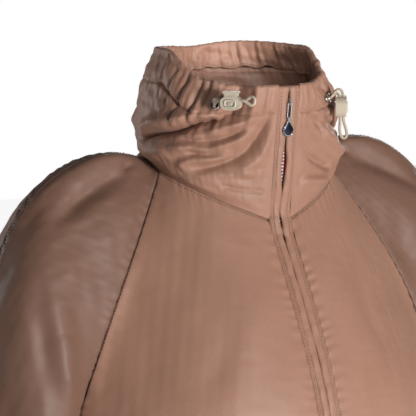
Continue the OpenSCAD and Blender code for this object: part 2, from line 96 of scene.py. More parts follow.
def make_lights():
    area_light("key", (0.30, -2.3, 0.0), (0, -0.05, -0.1), 0.4, 60, (1.0, 0.97, 0.94))
    area_light("fill", (-1.9, -1.2, 0.0), (0, 0, -0.3), 1.4, 1.5)
    area_light("top", (0.3, 0.4, 1.9), (0, 0.02, 0), 0.8, 0.8)
    spot_light("inside", (-0.6, -1.5, 0.62), (0.035, 0.08, 0.080), 5.0, 140)
    area_light("back_left", (-1.4, 1.9, 0.3), (0, 0, -0.1), 1.2, 24)
    area_light("back_right", (1.7, 1.5, 0.3), (0, 0, -0.2), 1.2, 20)
    world = bpy.data.worlds.new("studio")
    world.use_nodes = True
    tree = world.node_tree
    lit = tree.nodes["Background"]
    lit.inputs["Color"].default_value = (1, 1, 1, 1)
    lit.inputs["Strength"].default_value = 0.07
    seen = tree.nodes.new("ShaderNodeBackground")
    seen.inputs["Color"].default_value = (1, 1, 1, 1)
    seen.inputs["Strength"].default_value = 1.0
    path = tree.nodes.new("ShaderNodeLightPath")
    either = tree.nodes.new("ShaderNodeMixShader")
    tree.links.new(path.outputs["Is Camera Ray"], either.inputs[0])
    tree.links.new(lit.outputs[0], either.inputs[1])
    tree.links.new(seen.outputs[0], either.inputs[2])
    tree.links.new(either.outputs[0], tree.nodes["World Output"].inputs["Surface"])
    bpy.context.scene.world = world
    bpy.context.scene.view_settings.view_transform = "Standard"


# ------------------------------------------------------------------ materials
def shader(name, colour, roughness, **values):
    """A new material, and its node tree, Principled node and texture coordinates."""
    material = bpy.data.materials.new(name)
    material.use_nodes = True
    tree = material.node_tree
    node = tree.nodes["Principled BSDF"]
    node.inputs["Base Color"].default_value = (*colour, 1)
    node.inputs["Roughness"].default_value = roughness
    for key, value in values.items():
        node.inputs[key.replace("_", " ")].default_value = value
    return material, tree, node


def add(tree, kind, **inputs):
    node = tree.nodes.new(kind)
    for key, value in inputs.items():
        node.inputs[key].default_value = value
    return node


def link(tree, source, target):
    tree.links.new(source, target)


def math_node(tree, operation, a, b=0.0):
    node = tree.nodes.new("ShaderNodeMath")
    node.operation = operation
    for socket, value in zip(node.inputs, (a, b)):
        if isinstance(value, (int, float)):
            socket.default_value = value
        else:
            link(tree, value, socket)
    return node.outputs[0]


def colour_mix(tree, factor, a, b):
    node = tree.nodes.new("ShaderNodeMix")
    node.data_type = "RGBA"
    for socket, value in ((node.inputs[0], factor), (node.inputs[6], a), (node.inputs[7], b)):
        if isinstance(value, (int, float)):
            socket.default_value = value
        elif isinstance(value, tuple):
            socket.default_value = (*value, 1)
        else:
            link(tree, value, socket)
    return node.outputs[2]


def noise(tree, vector, scale, detail=2.0):
    node = add(tree, "ShaderNodeTexNoise", Scale=scale, Detail=detail)
    link(tree, vector, node.inputs["Vector"])
    return node.outputs["Fac"]


def bump(tree, node, height, distance, strength=1.0):
    bumped = add(tree, "ShaderNodeBump", Distance=distance, Strength=strength)
    link(tree, height, bumped.inputs["Height"])
    link(tree, bumped.outputs[0], node.inputs["Normal"])


def wave(tree, value, period):
    """A sine of the given period, from 0 to 1."""
    turned = math_node(tree, "MULTIPLY", value, 2 * math.pi / period)
    return math_node(tree, "ADD", math_node(tree, "MULTIPLY", math_node(tree, "SINE", turned), 0.5), 0.5)


def cloth_lengths(tree):
    """The cloth's own two directions, in metres, which every fabric grid carries as an attribute."""
    attribute = tree.nodes.new("ShaderNodeAttribute")
    attribute.attribute_name = "cloth"
    parts = tree.nodes.new("ShaderNodeSeparateXYZ")
    link(tree, attribute.outputs["Vector"], parts.inputs[0])
    return attribute.outputs["Vector"], parts.outputs[0], parts.outputs[1]


def thread_noise(tree, place, across, along):
    """Uneven threads: noise drawn out along one of the cloth's directions."""
    stretched = add(tree, "ShaderNodeMapping", Scale=(across, along, 1))
    link(tree, place, stretched.inputs["Vector"])
    return noise(tree, stretched.outputs[0], 1.0, 3.0)


def taffeta(name, colour, dark):
    """Crisp woven shell cloth: fine warp and weft threads, slubs, a soft sheen and faint handling marks."""
    material, tree, node = shader(name, colour, 0.5, Specular_IOR_Level=0.28, Sheen_Weight=0.10,
                                  Sheen_Roughness=0.4, Sheen_Tint=(1.0, 0.84, 0.74, 1))
    place = cloth_lengths(tree)[0]
    warp = thread_noise(tree, place, 1200, 420)
    weft = thread_noise(tree, place, 380, 1100)
    cloud = noise(tree, place, 16.0, 4.0)
    weave = math_node(tree, "ADD", warp, weft)
    woven = math_node(tree, "MULTIPLY", weave, 0.42)
    tone = math_node(tree, "ADD", woven, math_node(tree, "MULTIPLY", cloud, 0.3))
    light = tuple(min(1, c * 1.16) for c in colour)
    link(tree, colour_mix(tree, tone, dark, light), node.inputs["Base Color"])
    rough = math_node(tree, "ADD", math_node(tree, "MULTIPLY", cloud, 0.14), 0.44)
    link(tree, rough, node.inputs["Roughness"])
    bump(tree, node, weave, 0.00012, 0.6)
    return material


def ribbed(name, colour, period, along=True, roughness=0.8):
    """Knitted elastic, tape or braid: ribs of the given period along one of the cloth's directions."""
    material, tree, node = shader(name, colour, roughness, Sheen_Weight=0.3, Sheen_Roughness=0.5)
    place, across, down = cloth_lengths(tree)
    rib = wave(tree, across if along else down, period)
    cross = wave(tree, down if along else across, period * 0.6)
    height = math_node(tree, "ADD", rib, math_node(tree, "MULTIPLY", cross, 0.4))
    shade = colour_mix(tree, math_node(tree, "MULTIPLY", rib, 0.4), colour, tuple(c * 0.6 for c in colour))
    worn = colour_mix(tree, math_node(tree, "MULTIPLY", noise(tree, place, 60.0), 0.3), shade,
                      tuple(min(1, c * 1.25) for c in colour))
    link(tree, worn, node.inputs["Base Color"])
    bump(tree, node, height, period * 0.25, 0.6)
    return material


def braid(name, colour, strand=1.1 * MM):
    """Elastic braid: two diagonal sets of strands round the cord."""
    material, tree, node = shader(name, colour, 0.62, Sheen_Weight=0.35, Sheen_Roughness=0.4,
                                  Sheen_Tint=(1, 0.97, 0.9, 1))
    place, around, along = cloth_lengths(tree)
    one = wave(tree, math_node(tree, "ADD", around, along), strand)
    two = wave(tree, math_node(tree, "SUBTRACT", around, along), strand)
    height = math_node(tree, "MAXIMUM", one, two)
    # painted shade: the braid is darker where the strands sink in between their crests
    base = colour_mix(tree, height, tuple(c * 0.62 for c in colour), colour)
    soil = colour_mix(tree, math_node(tree, "MULTIPLY", noise(tree, place, 90.0), 0.25), base,
                      tuple(c * 0.75 for c in colour))
    link(tree, soil, node.inputs["Base Color"])
    bump(tree, node, height, 0.00025, 0.8)
    return material


def object_place(tree):
    return tree.nodes.new("ShaderNodeTexCoord").outputs["Object"]


def metal(name, colour, roughness, scratch=0.06):
    """Plated or brushed metal with fine scratches and dull patches."""
    material, tree, node = shader(name, colour, roughness, Metallic=1.0)
    place = object_place(tree)
    stretched = add(tree, "ShaderNodeMapping", Scale=(400, 400, 5000))
    link(tree, place, stretched.inputs["Vector"])
    scratches = noise(tree, stretched.outputs[0], 1.0, 3.0)
    patches = noise(tree, place, 300.0, 2.0)
    link(tree, math_node(tree, "MULTIPLY_ADD", patches, scratch * 2), node.inputs["Roughness"])
    node.inputs["Roughness"].links[0].from_node.inputs[2].default_value = roughness
    dull = tuple(c * 0.7 for c in colour)
    worn = colour_mix(tree, math_node(tree, "MULTIPLY", patches, 0.35), colour, dull)
    link(tree, worn, node.inputs["Base Color"])
    bump(tree, node, scratches, 0.00002, 0.3)
    return material


def moulded(name, colour, roughness=0.3):
    """Glossy moulded plastic: a faint orange peel, soft scattering and handling smudges."""
    material, tree, node = shader(name, colour, roughness, Coat_Weight=0.25, Coat_Roughness=0.12,
                                  Subsurface_Weight=0.12, Subsurface_Scale=0.002)
    place = object_place(tree)
    peel = noise(tree, place, 900.0, 2.0)
    smudge = noise(tree, place, 180.0, 3.0)
    link(tree, math_node(tree, "MULTIPLY_ADD", smudge, 0.22), node.inputs["Roughness"])
    node.inputs["Roughness"].links[0].from_node.inputs[2].default_value = roughness - 0.08
    yellowed = colour_mix(tree, math_node(tree, "MULTIPLY", smudge, 0.4), colour,
                          (colour[0] * 0.92, colour[1] * 0.86, colour[2] * 0.72))
    link(tree, yellowed, node.inputs["Base Color"])
    bump(tree, node, peel, 0.00004, 0.35)
    return material


def tape_cloth(name, colour, white, navy):
    """Zip tape: fine ribs, and a beaded edge of white and navy dashes beside the teeth."""
    material, tree, node = shader(name, colour, 0.75, Sheen_Weight=0.3, Sheen_Roughness=0.5)
    _, across, along = cloth_lengths(tree)
    rib = wave(tree, across, 0.8 * MM)
    dash = math_node(tree, "GREATER_THAN", wave(tree, along, 3.4 * MM), 0.5)
    edge = math_node(tree, "LESS_THAN", across, 1.6 * MM)
    dark = tuple(c * 0.6 for c in colour)
    plain_tape = colour_mix(tree, math_node(tree, "MULTIPLY", rib, 0.4), colour, dark)
    beads = colour_mix(tree, dash, navy, white)
    link(tree, colour_mix(tree, edge, plain_tape, beads), node.inputs["Base Color"])
    bump(tree, node, rib, 0.0002, 0.6)
    return material


BROWN = (0.310, 0.168, 0.118)
BROWN_DARK = (0.200, 0.104, 0.071)
THREAD = (0.085, 0.045, 0.030)
SLEEVE_PAINTED_SHADE = 0.56         # painted shade: the sleeves and cuffs are shown darker than the body
MATERIAL = {
    "shell": taffeta("shell_taffeta", BROWN, BROWN_DARK),
    # painted shade: a darker copy of the shell cloth, for the sleeves and cuffs
    "shell_sleeve_painted_shade": taffeta("shell_taffeta_sleeve_painted_shade", tuple(c * SLEEVE_PAINTED_SHADE for c in BROWN),
                            tuple(c * SLEEVE_PAINTED_SHADE * 0.9 for c in BROWN_DARK)),
    "lining": taffeta("lining_taffeta", tuple(c * 0.92 for c in BROWN), tuple(c * 0.9 for c in BROWN_DARK)),
    "thread": ribbed("stitch_thread", THREAD, 0.3 * MM, roughness=0.6),
    "elastic": ribbed("knitted_elastic", (0.72, 0.68, 0.60), 1.4 * MM),
    "loop": ribbed("loop_tape", (0.20, 0.125, 0.09), 0.9 * MM),
    "tape": tape_cloth("zip_tape_cloth", (0.50, 0.008, 0.02), (0.75, 0.74, 0.72), (0.012, 0.018, 0.06)),
    "tooth": metal("zip_teeth_metal", (0.35, 0.34, 0.34), 0.3),
    "cord": braid("drawcord_braid", (0.55, 0.46, 0.35)),
    "ivory": moulded("ivory_plastic", (0.52, 0.465, 0.38)),
    "chrome": metal("polished_chrome", (0.46, 0.46, 0.48), 0.20),
    "dark_chrome": metal("dark_chrome", (0.035, 0.038, 0.055), 0.16),
    "nickel": metal("eyelet_nickel", (0.72, 0.70, 0.66), 0.2),
    "steel": metal("spring_steel", (0.55, 0.55, 0.55), 0.25),
}

# ------------------------------------------------------------------ the pattern, as in the CAD model, in mm
CHEST_HALF_W = 200
CHEST_FRONT = 162
BACK_DEPTH = 126
UNDERARM_DROP = 300
SLEEVE_OUT = 300
CUFF_R = 40
CUFF_RY = 42
HEM_TOP = -585
HEM_DROP = -620
CUFF_TOP = -604
CUFF_BOTTOM = -636
CUFF_CENTRE = np.array([-302.0, -22.0, CUFF_TOP])
NECK_A, NECK_FRONT, NECK_BACK, NECK_DROP = 100, 70, 80, 76
RIM_A, RIM_B, RIM_FRONT_Z, RIM_BACK_Z = 83, 86, 64, 90
PUFF = 13
FACING_W = 11
SLIT_W = 2.6
RAGLAN_FRONT, OVERARM, RAGLAN_BACK = 84, 100, 116
EYELET_ANGLE, EYELET_Z = 50, 43
TUNNEL = 28                 # depth of the drawcord tunnel below the rim
UNDERARM = np.array([-CHEST_HALF_W, 5.0, -UNDERARM_DROP])
OVERARM_LOW = np.array([-SLEEVE_OUT, 5.0, -UNDERARM_DROP])


def vec(*v):
    return np.array(v, float)


def mix(a, b, t):
    return a + (b - a) * t


def smooth(t):
    t = np.clip(t, 0, 1)
    return t * t * (3 - 2 * t)


def bez(a, b, c, d, t):
    s = 1 - t
    return a * s ** 3 + b * 3 * s * s * t + c * 3 * s * t * t + d * t ** 3


def keys3(a, b, c, t):
    low = mix(a, b, 2 * t)
    high = mix(b, c, np.clip(2 * t - 1, 0, 1))
    return np.where(t < 0.5, low, high)


def neck(p):
    """Neck seam of the right half: p is the angle from the front (0) to the back (180), in degrees."""
    r = np.radians(p)
    depth = np.where(p < 90, NECK_FRONT, NECK_BACK)
    return np.concatenate([-NECK_A * np.sin(r), -depth * np.cos(r), -NECK_DROP + 80 * np.sin(r / 2)], axis=-1)


def neck_at(p):
    return neck(np.array([float(p)]))


def two_part(v, upper, lower):
    return np.where(v <= 1, upper(np.clip(v, 0, 1)), lower(np.clip(v - 1, 0, 1)))


def zip_line(v):
    low = vec(0, -CHEST_FRONT, -UNDERARM_DROP)
    return two_part(
        v, lambda t: bez(vec(0, -NECK_FRONT, -NECK_DROP), vec(0, -NECK_FRONT - 34, -NECK_DROP - 64),
                         vec(0, -CHEST_FRONT + 4, -UNDERARM_DROP + 75), low, t),
        lambda t: mix(low, vec(0, -CHEST_FRONT + 14, HEM_TOP), t))


def back_line(v):
    low = vec(0, BACK_DEPTH, -UNDERARM_DROP)
    return two_part(
        v, lambda t: bez(vec(0, NECK_BACK, 4), vec(0, NECK_BACK + 36, -44),
                         vec(0, BACK_DEPTH + 4, -180), low, t),
        lambda t: mix(low, vec(0, BACK_DEPTH - 10, HEM_TOP), t))


def side_line(t):
    return mix(UNDERARM, vec(-CHEST_HALF_W + 8, 2, HEM_TOP), t)


def sleeve_seam(t):
    return bez(UNDERARM, UNDERARM + vec(-14, 0, -100), CUFF_CENTRE + vec(CUFF_R + 8, 2, 100),
               CUFF_CENTRE + vec(CUFF_R, 0, 0), t)


def front_armhole(t):
    return bez(neck_at(RAGLAN_FRONT), vec(-140, -35, -90), vec(-240, -85, -225), UNDERARM, t)


def back_armhole(t):
    return bez(neck_at(RAGLAN_BACK), vec(-145, 78, -70), vec(-235, 112, -210), UNDERARM, t)


def overarm_line(v):
    return two_part(
        v, lambda t: bez(neck_at(OVERARM), vec(-172, 20, 14), vec(-304, 14, -8), OVERARM_LOW, t),
        lambda t: bez(OVERARM_LOW, OVERARM_LOW + vec(-14, -2, -100), CUFF_CENTRE + vec(-CUFF_R - 8, 2, 100),
                      CUFF_CENTRE + vec(-CUFF_R, 0, 0), t))


def panel(start, leave, end, arrive, p0, p1, u, v):
    """A panel's grid of points: each row is a curve from its start edge to its end edge, and the first
    rows are pulled on to the neck seam between the angles p0 and p1."""
    def rows(w):
        return bez(start(w), start(w) + leave(w), end(w) - arrive(w), end(w), u)
    top = np.zeros_like(v)
    pull = (1 - np.clip(v / 0.35, 0, 1)) ** 2
    return rows(v) + pull * (neck(mix(p0, p1, u)) - rows(top))


def cuff_pull(v):
    return mix(1, 0.66, np.clip(v - 1, 0, 1))


def front_panel(u, v):
    half_slit = FACING_W + SLIT_W / 2
    first = math.degrees(math.asin(half_slit / NECK_A))
    return panel(lambda w: zip_line(w) - vec(half_slit, 0, 0),
                 lambda w: keys3(vec(-40, 0, 6), vec(-85, -4, 4), vec(-108, 0, 0), w),
                 lambda w: two_part(w, front_armhole, side_line),
                 lambda w: keys3(vec(-4, 32, 14), vec(-52, 14, -6), vec(0, 92, 0), w),
                 first, RAGLAN_FRONT, u, v)


def back_half(u, v):
    return panel(lambda w: two_part(w, back_armhole, side_line),
                 lambda w: keys3(vec(10, 22, 4), vec(46, 40, 4), vec(0, 78, 0), w),
                 back_line,
                 lambda w: keys3(vec(50, 0, 0), vec(90, 0, 0), vec(112, 0, 0), w),
                 RAGLAN_BACK, 180, u, v)


def sleeve_front(u, v):
    return panel(lambda w: two_part(w, front_armhole, sleeve_seam),
                 lambda w: cuff_pull(w) * keys3(vec(-2, 7, 2), vec(-56, 4, 22), vec(0, -84, 0), w),
                 overarm_line,
                 lambda w: cuff_pull(w) * keys3(vec(0, 7, 0), vec(-2, 50, 4), vec(0, 84, 0), w),
                 RAGLAN_FRONT, OVERARM, u, v)


def sleeve_back(u, v):
    return panel(overarm_line,
                 lambda w: cuff_pull(w) * keys3(vec(2, 7, 0), vec(-2, 52, -4), vec(0, 80, 0), w),
                 lambda w: two_part(w, back_armhole, sleeve_seam),
                 lambda w: cuff_pull(w) * keys3(vec(4, 7, -2), vec(46, 10, -24), vec(0, -80, 0), w),
                 OVERARM, RAGLAN_BACK, u, v)


def collar_half_w(h):
    return mix(NECK_A, RIM_A, h) + PUFF * np.sin(np.pi * np.minimum(1, h * 1.05))


def rim_z(q):
    return mix(RIM_FRONT_Z, RIM_BACK_Z, smooth((np.abs(q) - 58) / 34))


def neck_z(q):
    return -NECK_DROP + 80 * np.sin(np.radians(np.abs(q)) / 2)


def collar(q, h, inset=0.0):
    """A point of the collar: q is the angle from the front, negative on the wearer's right."""
    a = collar_half_w(h) - inset
    front = mix(NECK_FRONT, RIM_B, h) - inset
    back = mix(NECK_BACK, RIM_B, h) + 0.6 * PUFF * np.sin(np.pi * h) - inset
    b = mix(front, back, smooth((np.abs(q) - 60) / 60))
    r = np.radians(q)
    return np.stack([a * np.sin(r), -b * np.cos(r), mix(neck_z(q), rim_z(q), h)], axis=-1)


# ------------------------------------------------------------------ grids of cloth
def normals(p):
    """Outward unit normals of a grid whose columns run towards -X on the right half."""
    across = np.gradient(p, axis=1)
    down = np.gradient(p, axis=0)
    n = np.cross(across, down)
    return n / np.maximum(np.linalg.norm(n, axis=-1, keepdims=True), 1e-9)


def lengths(p):
    """Distance across each row and down each column of a grid, in mm: the cloth's own coordinates."""
    across = np.linalg.norm(np.diff(p, axis=1, prepend=p[:, :1]), axis=-1).cumsum(axis=1)
    down = np.linalg.norm(np.diff(p, axis=0, prepend=p[:1]), axis=-1).cumsum(axis=0)
    return across, down


def waves(p, wavelength, stretch, seed, count=9):
    """Smooth seeded noise from -1 to 1: sine waves with crests drawn out along the axes of stretch."""
    rng = np.random.default_rng(SEED + seed)
    total = np.zeros(p.shape[:-1])
    for _ in range(count):
        k = rng.normal(size=3)
        k = k / np.linalg.norm(k) / np.array(stretch) * rng.uniform(0.6, 1.5)
        total += np.sin(2 * np.pi * (p @ k) / wavelength + rng.uniform(0, 2 * np.pi))
    return total / math.sqrt(count) / 1.3


def from_route(p, route):
    """Distance from each point to a route of straight stretches, and how far along it (0 to 1)."""
    best = np.full(p.shape[:-1], 1e9)
    where = np.zeros(p.shape[:-1])
    steps = np.linalg.norm(np.diff(route, axis=0), axis=1)
    total = steps.sum()
    done = 0.0
    for a, b, step in zip(route[:-1], route[1:], steps):
        t = np.clip(((p - a) @ (b - a)) / step ** 2, 0, 1)
        d = np.linalg.norm(p - (a + t[..., None] * (b - a)), axis=-1)
        nearer = d < best
        best = np.where(nearer, d, best)
        where = np.where(nearer, (done + t * step) / total, where)
        done += step
    return best, where


def curve_through(points, steps=12):
    """A smooth route through given points (Catmull-Rom)."""
    p = np.array(points, float)
    p = np.vstack([2 * p[0] - p[1], p, 2 * p[-1] - p[-2]])
    out = []
    for a, b, c, d in zip(p[:-3], p[1:-2], p[2:-1], p[3:]):
        for t in np.linspace(0, 1, steps, endpoint=False):
            out.append(0.5 * (2 * b + (c - a) * t + (2 * a - 5 * b + 4 * c - d) * t ** 2
                              + (3 * b - a - 3 * c + d) * t ** 3))
    out.append(p[-2])
    return np.array(out)


def fold(p, points, height, width, fade=0.25):
    """A long soft fold along a route: positive height stands out, negative sinks in."""
    d, t = from_route(p, curve_through(points, 6))
    ends = smooth(t / fade) * smooth((1 - t) / fade)
    return height * np.exp(-(d / width) ** 2) * ends


def new_object(name, verts, faces, material, cloth=None, smooth_shading=True):
    """A mesh object from mm, with the cloth's own coordinates as an attribute."""
    mesh = bpy.data.meshes.new(name)
    mesh.from_pydata((np.asarray(verts) * MM).tolist(), [], [tuple(f) for f in faces])
    if cloth is not None:
        attribute = mesh.attributes.new("cloth", "FLOAT_VECTOR", "POINT")
        flat = np.zeros((len(verts), 3), np.float32)
        flat[:, :2] = np.asarray(cloth) * MM
        attribute.data.foreach_set("vector", flat.ravel())
    mesh.materials.append(material)
    if smooth_shading:
        mesh.polygons.foreach_set("use_smooth", [True] * len(mesh.polygons))
    mesh.update()
    made = bpy.data.objects.new(name, mesh)
    bpy.context.scene.collection.objects.link(made)
    return made


def grid_faces(rows, columns, around=False, start=0, flip=False):
    i, j = np.meshgrid(np.arange(rows - 1), np.arange(columns if around else columns - 1), indexing="ij")
    k = (j + 1) % columns
    quad = np.stack([i * columns + j, i * columns + k, (i + 1) * columns + k, (i + 1) * columns + j], axis=-1)
    quad = quad.reshape(-1, 4) + start
    return (quad[:, ::-1] if flip else quad).tolist()


def cloth_object(name, p, material, thickness=0.5, around=False, flip=False):
    """A sheet from a grid of points, given its thickness on the inner side."""
    across, down = lengths(p)
    rows, columns = p.shape[:2]
    made = new_object(name, p.reshape(-1, 3), grid_faces(rows, columns, around, flip=flip), material,
                      np.stack([across, down], axis=-1).reshape(-1, 2))
    solid = made.modifiers.new("thickness", "SOLIDIFY")
    solid.thickness = thickness * MM
    solid.offset = -1
    return made


def stands_in(made, node):
    """Puts a piece on the jacket in place of its CAD node."""
    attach(made, "jacket")
    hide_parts(node)


def mirrored(p):
    return p * np.array([-1, 1, 1])


# ------------------------------------------------------------------ folds of the body and sleeves
def seam_dip(across, width, depth=0.55, reach=1.5):
    """The turned seam sinks a little at each long edge of a panel."""
    return -depth * (np.exp(-(across / reach) ** 2) + np.exp(-((width - across) / reach) ** 2))


def puckers(along, across, seed, height=0.45, reach=9.0, pitch=13.0):
    """Small puckers where the thread draws the cloth in, fading away from the seam."""
    wander = waves(np.stack([along, across * 0, across * 0], axis=-1), 60, (1, 1, 1), seed, 5)
    return height * np.exp(-(across / reach) ** 2) * np.sin(2 * np.pi * along / pitch + 4 * wander)


def body_folds(p, right, seed):
    """Broad soft folds of the body, in the right half's own place; right is False on the wearer's left."""
    v = 2.2 * waves(p, 120, (1.0, 1.0, 2.4), seed) * smooth((-40 - p[..., 2]) / 120)
    v += 0.45 * waves(p, 34, (1.0, 1.0, 1.8), seed + 1)
    v += 0.12 * waves(p, 13, (1.0, 1.0, 1.0), seed + 2)
    hem = smooth((p[..., 2] - HEM_TOP) / 90)
    angle = np.arctan2(p[..., 0], -p[..., 1])
    v += (1 - hem) * 2.0 * np.sin(angle * 46 + 2.2 * waves(p, 90, (1, 1, 4), seed + 3))
    if right:
        v += fold(p, [(-40, -112, -110), (-70, -120, -160), (-95, -128, -215), (-110, -130, -280)], 2.6, 22)
        v += fold(p, [(-62, -112, -120), (-92, -118, -170), (-118, -120, -230)], -2.4, 14)
        v += fold(p, [(-100, -60, -60), (-112, -76, -110), (-126, -84, -150)], -1.4, 12)
        v += fold(p, [(-30, -92, -92), (-60, -84, -84), (-90, -60, -62)], 1.2, 10)
    else:
        v += fold(p, [(-40, -104, -96), (-58, -120, -150), (-66, -140, -210)], 2.4, 20)
        v += fold(p, [(-60, -100, -92), (-84, -112, -150), (-96, -124, -210)], -2.2, 13)
        v += fold(p, [(-80, -76, -64), (-104, -84, -110), (-128, -86, -150)], 2.0, 14)
        v += fold(p, [(-64, -74, -62), (-88, -62, -52), (-104, -40, -44)], -2.4, 9)
    return v


NECK_TUCKS = [              # short tucks of the sleeve that start at the neck seam
    [(-103, -8, -12), (-120, -16, -22), (-142, -26, -38)],
    [(-102, 4, -8), (-118, 0, -10), (-140, -4, -20)],
    [(-104, -28, -30), (-120, -44, -52), (-138, -56, -84)],
]


def sleeve_folds(p, right, seed):
    """Diagonal folds of the sleeves, elbow wrinkles and the gathers above the cuff."""
    v = 1.8 * waves(p, 90, (1.0, 1.0, 1.7), seed)
    v += 0.5 * waves(p, 30, (1.0, 1.0, 1.4), seed + 1)
    v += 0.2 * waves(p, 12, (1.0, 1.0, 1.0), seed + 2)
    elbow = np.exp(-((p[..., 2] + 440) / 70) ** 2)
    slope = p[..., 2] + 0.5 * p[..., 1] + 0.25 * p[..., 0]
    wrinkles = np.sin(slope / 7.5 + 1.6 * waves(p, 80, (2, 2, 1), seed + 3))
    v += elbow * 2.2 * wrinkles * smooth((p[..., 1] + 60) / 90)
    cuff = 1 - smooth((p[..., 2] - CUFF_TOP) / 75)
    angle = np.arctan2(p[..., 1] - CUFF_CENTRE[1], p[..., 0] - CUFF_CENTRE[0])
    v += cuff * 2.4 * np.sin(angle * 21 + 1.8 * waves(p, 60, (1, 1, 4), seed + 4))
    v += (1 - cuff) * smooth((-480 - p[..., 2]) / 80) * 4.0
    v += fold(p, [(-108, -4, -12), (-150, -12, -24), (-196, -18, -44), (-240, -20, -74)], -9.0, 10, 0.45)
    v += fold(p, [(-112, 14, -4), (-150, 6, -8), (-196, 4, -22), (-244, 2, -52)], 4.0, 9, 0.2)
    v += fold(p, [(-112, -22, -34), (-150, -36, -58), (-200, -48, -88), (-246, -44, -128)], 5.0, 15)
    for points in NECK_TUCKS:
        v += fold(p, points, -4.0, 3.6) + fold(p, [(x, y - 7, z - 7) for x, y, z in points], 2.4, 4.5)
    if right:
        v += fold(p, [(-150, -42, -100), (-190, -60, -150), (-212, -62, -205)], -2.4, 12)
        v += fold(p, [(-215, -52, -110), (-240, -60, -160), (-236, -66, -230)], 3.0, 16)
        v += fold(p, [(-262, -40, -110), (-252, -62, -190), (-244, -74, -260), (-240, -80, -330)],
                  -5.0, 12, 0.3)
        v += fold(p, [(-246, -44, -90), (-236, -62, -160), (-228, -70, -240)], 4.0, 12)
    else:
        v += fold(p, [(-160, -36, -100), (-205, -52, -150), (-232, -60, -220)], -2.6, 12)
        v += fold(p, [(-230, -46, -110), (-250, -58, -190), (-246, -66, -270)], 3.0, 16)
    return v


UNDERARM_ROW = 150
CHEST_ROW = UNDERARM_ROW // 2        # where keys3 changes from one pair of its values to the next
ROWS_BELOW = 100
ROWS_V = np.concatenate([np.linspace(0, 1, UNDERARM_ROW, endpoint=False),
                         np.linspace(1, 2, ROWS_BELOW)])[:, None, None]
PANELS = {}                 # name -> finished grid of points, in the order of its own columns
BASE = {}                   # name -> the same piece before any folds


def shaped(points, folds, seed, right):
    """Adds folds, sunk seams and puckers to a base panel on the right half, then mirrors it if need be."""
    n = normals(points)
    across, down = lengths(points)
    width = across[:, -1:]
    v = folds(points, right, seed)
    edge = smooth(across / 14) * smooth((width - across) / 14)
    top = smooth(down / 18)
    v = v * mix(0.15, 1, edge) * mix(0.1, 1, top)
    v += seam_dip(across, width)
    v += puckers(down, across, seed + 5) + puckers(down, width - across, seed + 6)
    v += puckers(across, down, seed + 7, 0.25 if right else 0.8, 14, 11)
    moved = points + n * v[..., None]
    return moved if right else mirrored(moved)


def eased(p, u, reach=38, times=700):
    """Smooths a panel down its length across the chest and underarm lines, but not its long edges."""
    rows = np.arange(len(p))[:, None, None]
    share = sum(smooth(1 - np.abs(rows - row) / reach) for row in (CHEST_ROW, UNDERARM_ROW))
    share = np.minimum(share, 1) * smooth(u / 0.12) * smooth((1 - u) / 0.12)
    p = p.copy()
    for _ in range(times):
        p[1:-1] += 0.5 * share[1:-1] * ((p[:-2] + p[2:]) / 2 - p[1:-1])
    return p


def make_panel_grids():
    u = {name: np.linspace(0, 1, count)[None, :, None] for name, count in
         (("front", 110), ("sleeve", 84), ("back", 90))}
    front = eased(front_panel(u["front"], ROWS_V), u["front"])
    s_front = eased(sleeve_front(u["sleeve"], ROWS_V), u["sleeve"])
    s_back = eased(sleeve_back(u["sleeve"], ROWS_V), u["sleeve"])
    back = eased(back_half(u["back"], ROWS_V), u["back"] * 0.88)
    for side, right in (("right", True), ("left", False)):
        seed = 100 if right else 300
        PANELS[f"front_{side}_panel"] = shaped(front, body_folds, seed, right)
        PANELS[f"{side}_sleeve_front"] = shaped(s_front, sleeve_folds, seed + 20, right)
        PANELS[f"{side}_sleeve_back"] = shaped(s_back, sleeve_folds, seed + 20, right)
        BASE[f"front_{side}_panel"] = front
        BASE[f"{side}_sleeve_front"] = s_front
        BASE[f"{side}_sleeve_back"] = s_back
    whole = np.concatenate([back, mirrored(back)[:, -2::-1]], axis=1)
    n = normals(whole)
    across, down = lengths(whole)
    width = across[:, -1:]
    v = 2.2 * waves(whole, 120, (1, 1, 2.2), 501) + 0.55 * waves(whole, 34, (1, 1, 1.8), 502)
    v += 0.22 * waves(whole, 13, (1, 1, 1), 503)
    hem = 1 - smooth((whole[..., 2] - HEM_TOP) / 90)
    angle = np.arctan2(whole[..., 0], whole[..., 1])
    v += hem * 2.0 * np.sin(angle * 46 + 2.2 * waves(whole, 90, (1, 1, 4), 504))
    edge = smooth(across / 14) * smooth((width - across) / 14)
    v *= mix(0.15, 1, edge) * mix(0.1, 1, smooth(down / 18))
    v += seam_dip(across, width) + puckers(down, across, 505) + puckers(down, width - across, 506)
    v += puckers(across, down, 507, 0.7, 14, 11)
    PANELS["back_panel"] = whole + n * v[..., None]
    BASE["back_panel"] = whole


# ------------------------------------------------------------------ collar
COLLAR_COLUMNS = 560
ROLL = 2.3                  # radius of the turned rim, mm
RIM_DIP = 5.0               # how far the rim sags at the front, where the cord draws it down
FRONT_X = FACING_W + SLIT_W / 2
PER_DEGREE = 1.58           # mm of cloth per degree round the collar
COLLAR_H = 118              # nominal height, to place folds and noise
COLLAR_R = 95               # nominal radius, to place noise


def collar_angles(h):
    first = np.degrees(np.arcsin(FRONT_X / collar_half_w(h)))
    q = first + (360 - 2 * first) * np.linspace(0, 1, COLLAR_COLUMNS)
    return np.where(q > 180, q - 360, q)


def collar_height(q):
    return rim_z(q) - neck_z(q)


def crease(q, t, points, height, width, fade=0.2):
    """A fold of the collar along listed points (angle, share of height); widths are in mm."""
    place = np.stack([q * PER_DEGREE, t * COLLAR_H, np.zeros_like(q)], axis=-1)
    d, w = from_route(place, curve_through([(a * PER_DEGREE, b * COLLAR_H, 0) for a, b in points], 6))
    return height * np.exp(-(d / width) ** 2) * smooth(w / fade) * smooth((1 - w) / fade)


def unrolled(q, t):
    """A rough place of each point of the collar, for the noise of its folds."""
    r = np.radians(q)
    return np.stack([np.sin(r) * COLLAR_R, np.cos(r) * COLLAR_R, t * COLLAR_H], axis=-1)


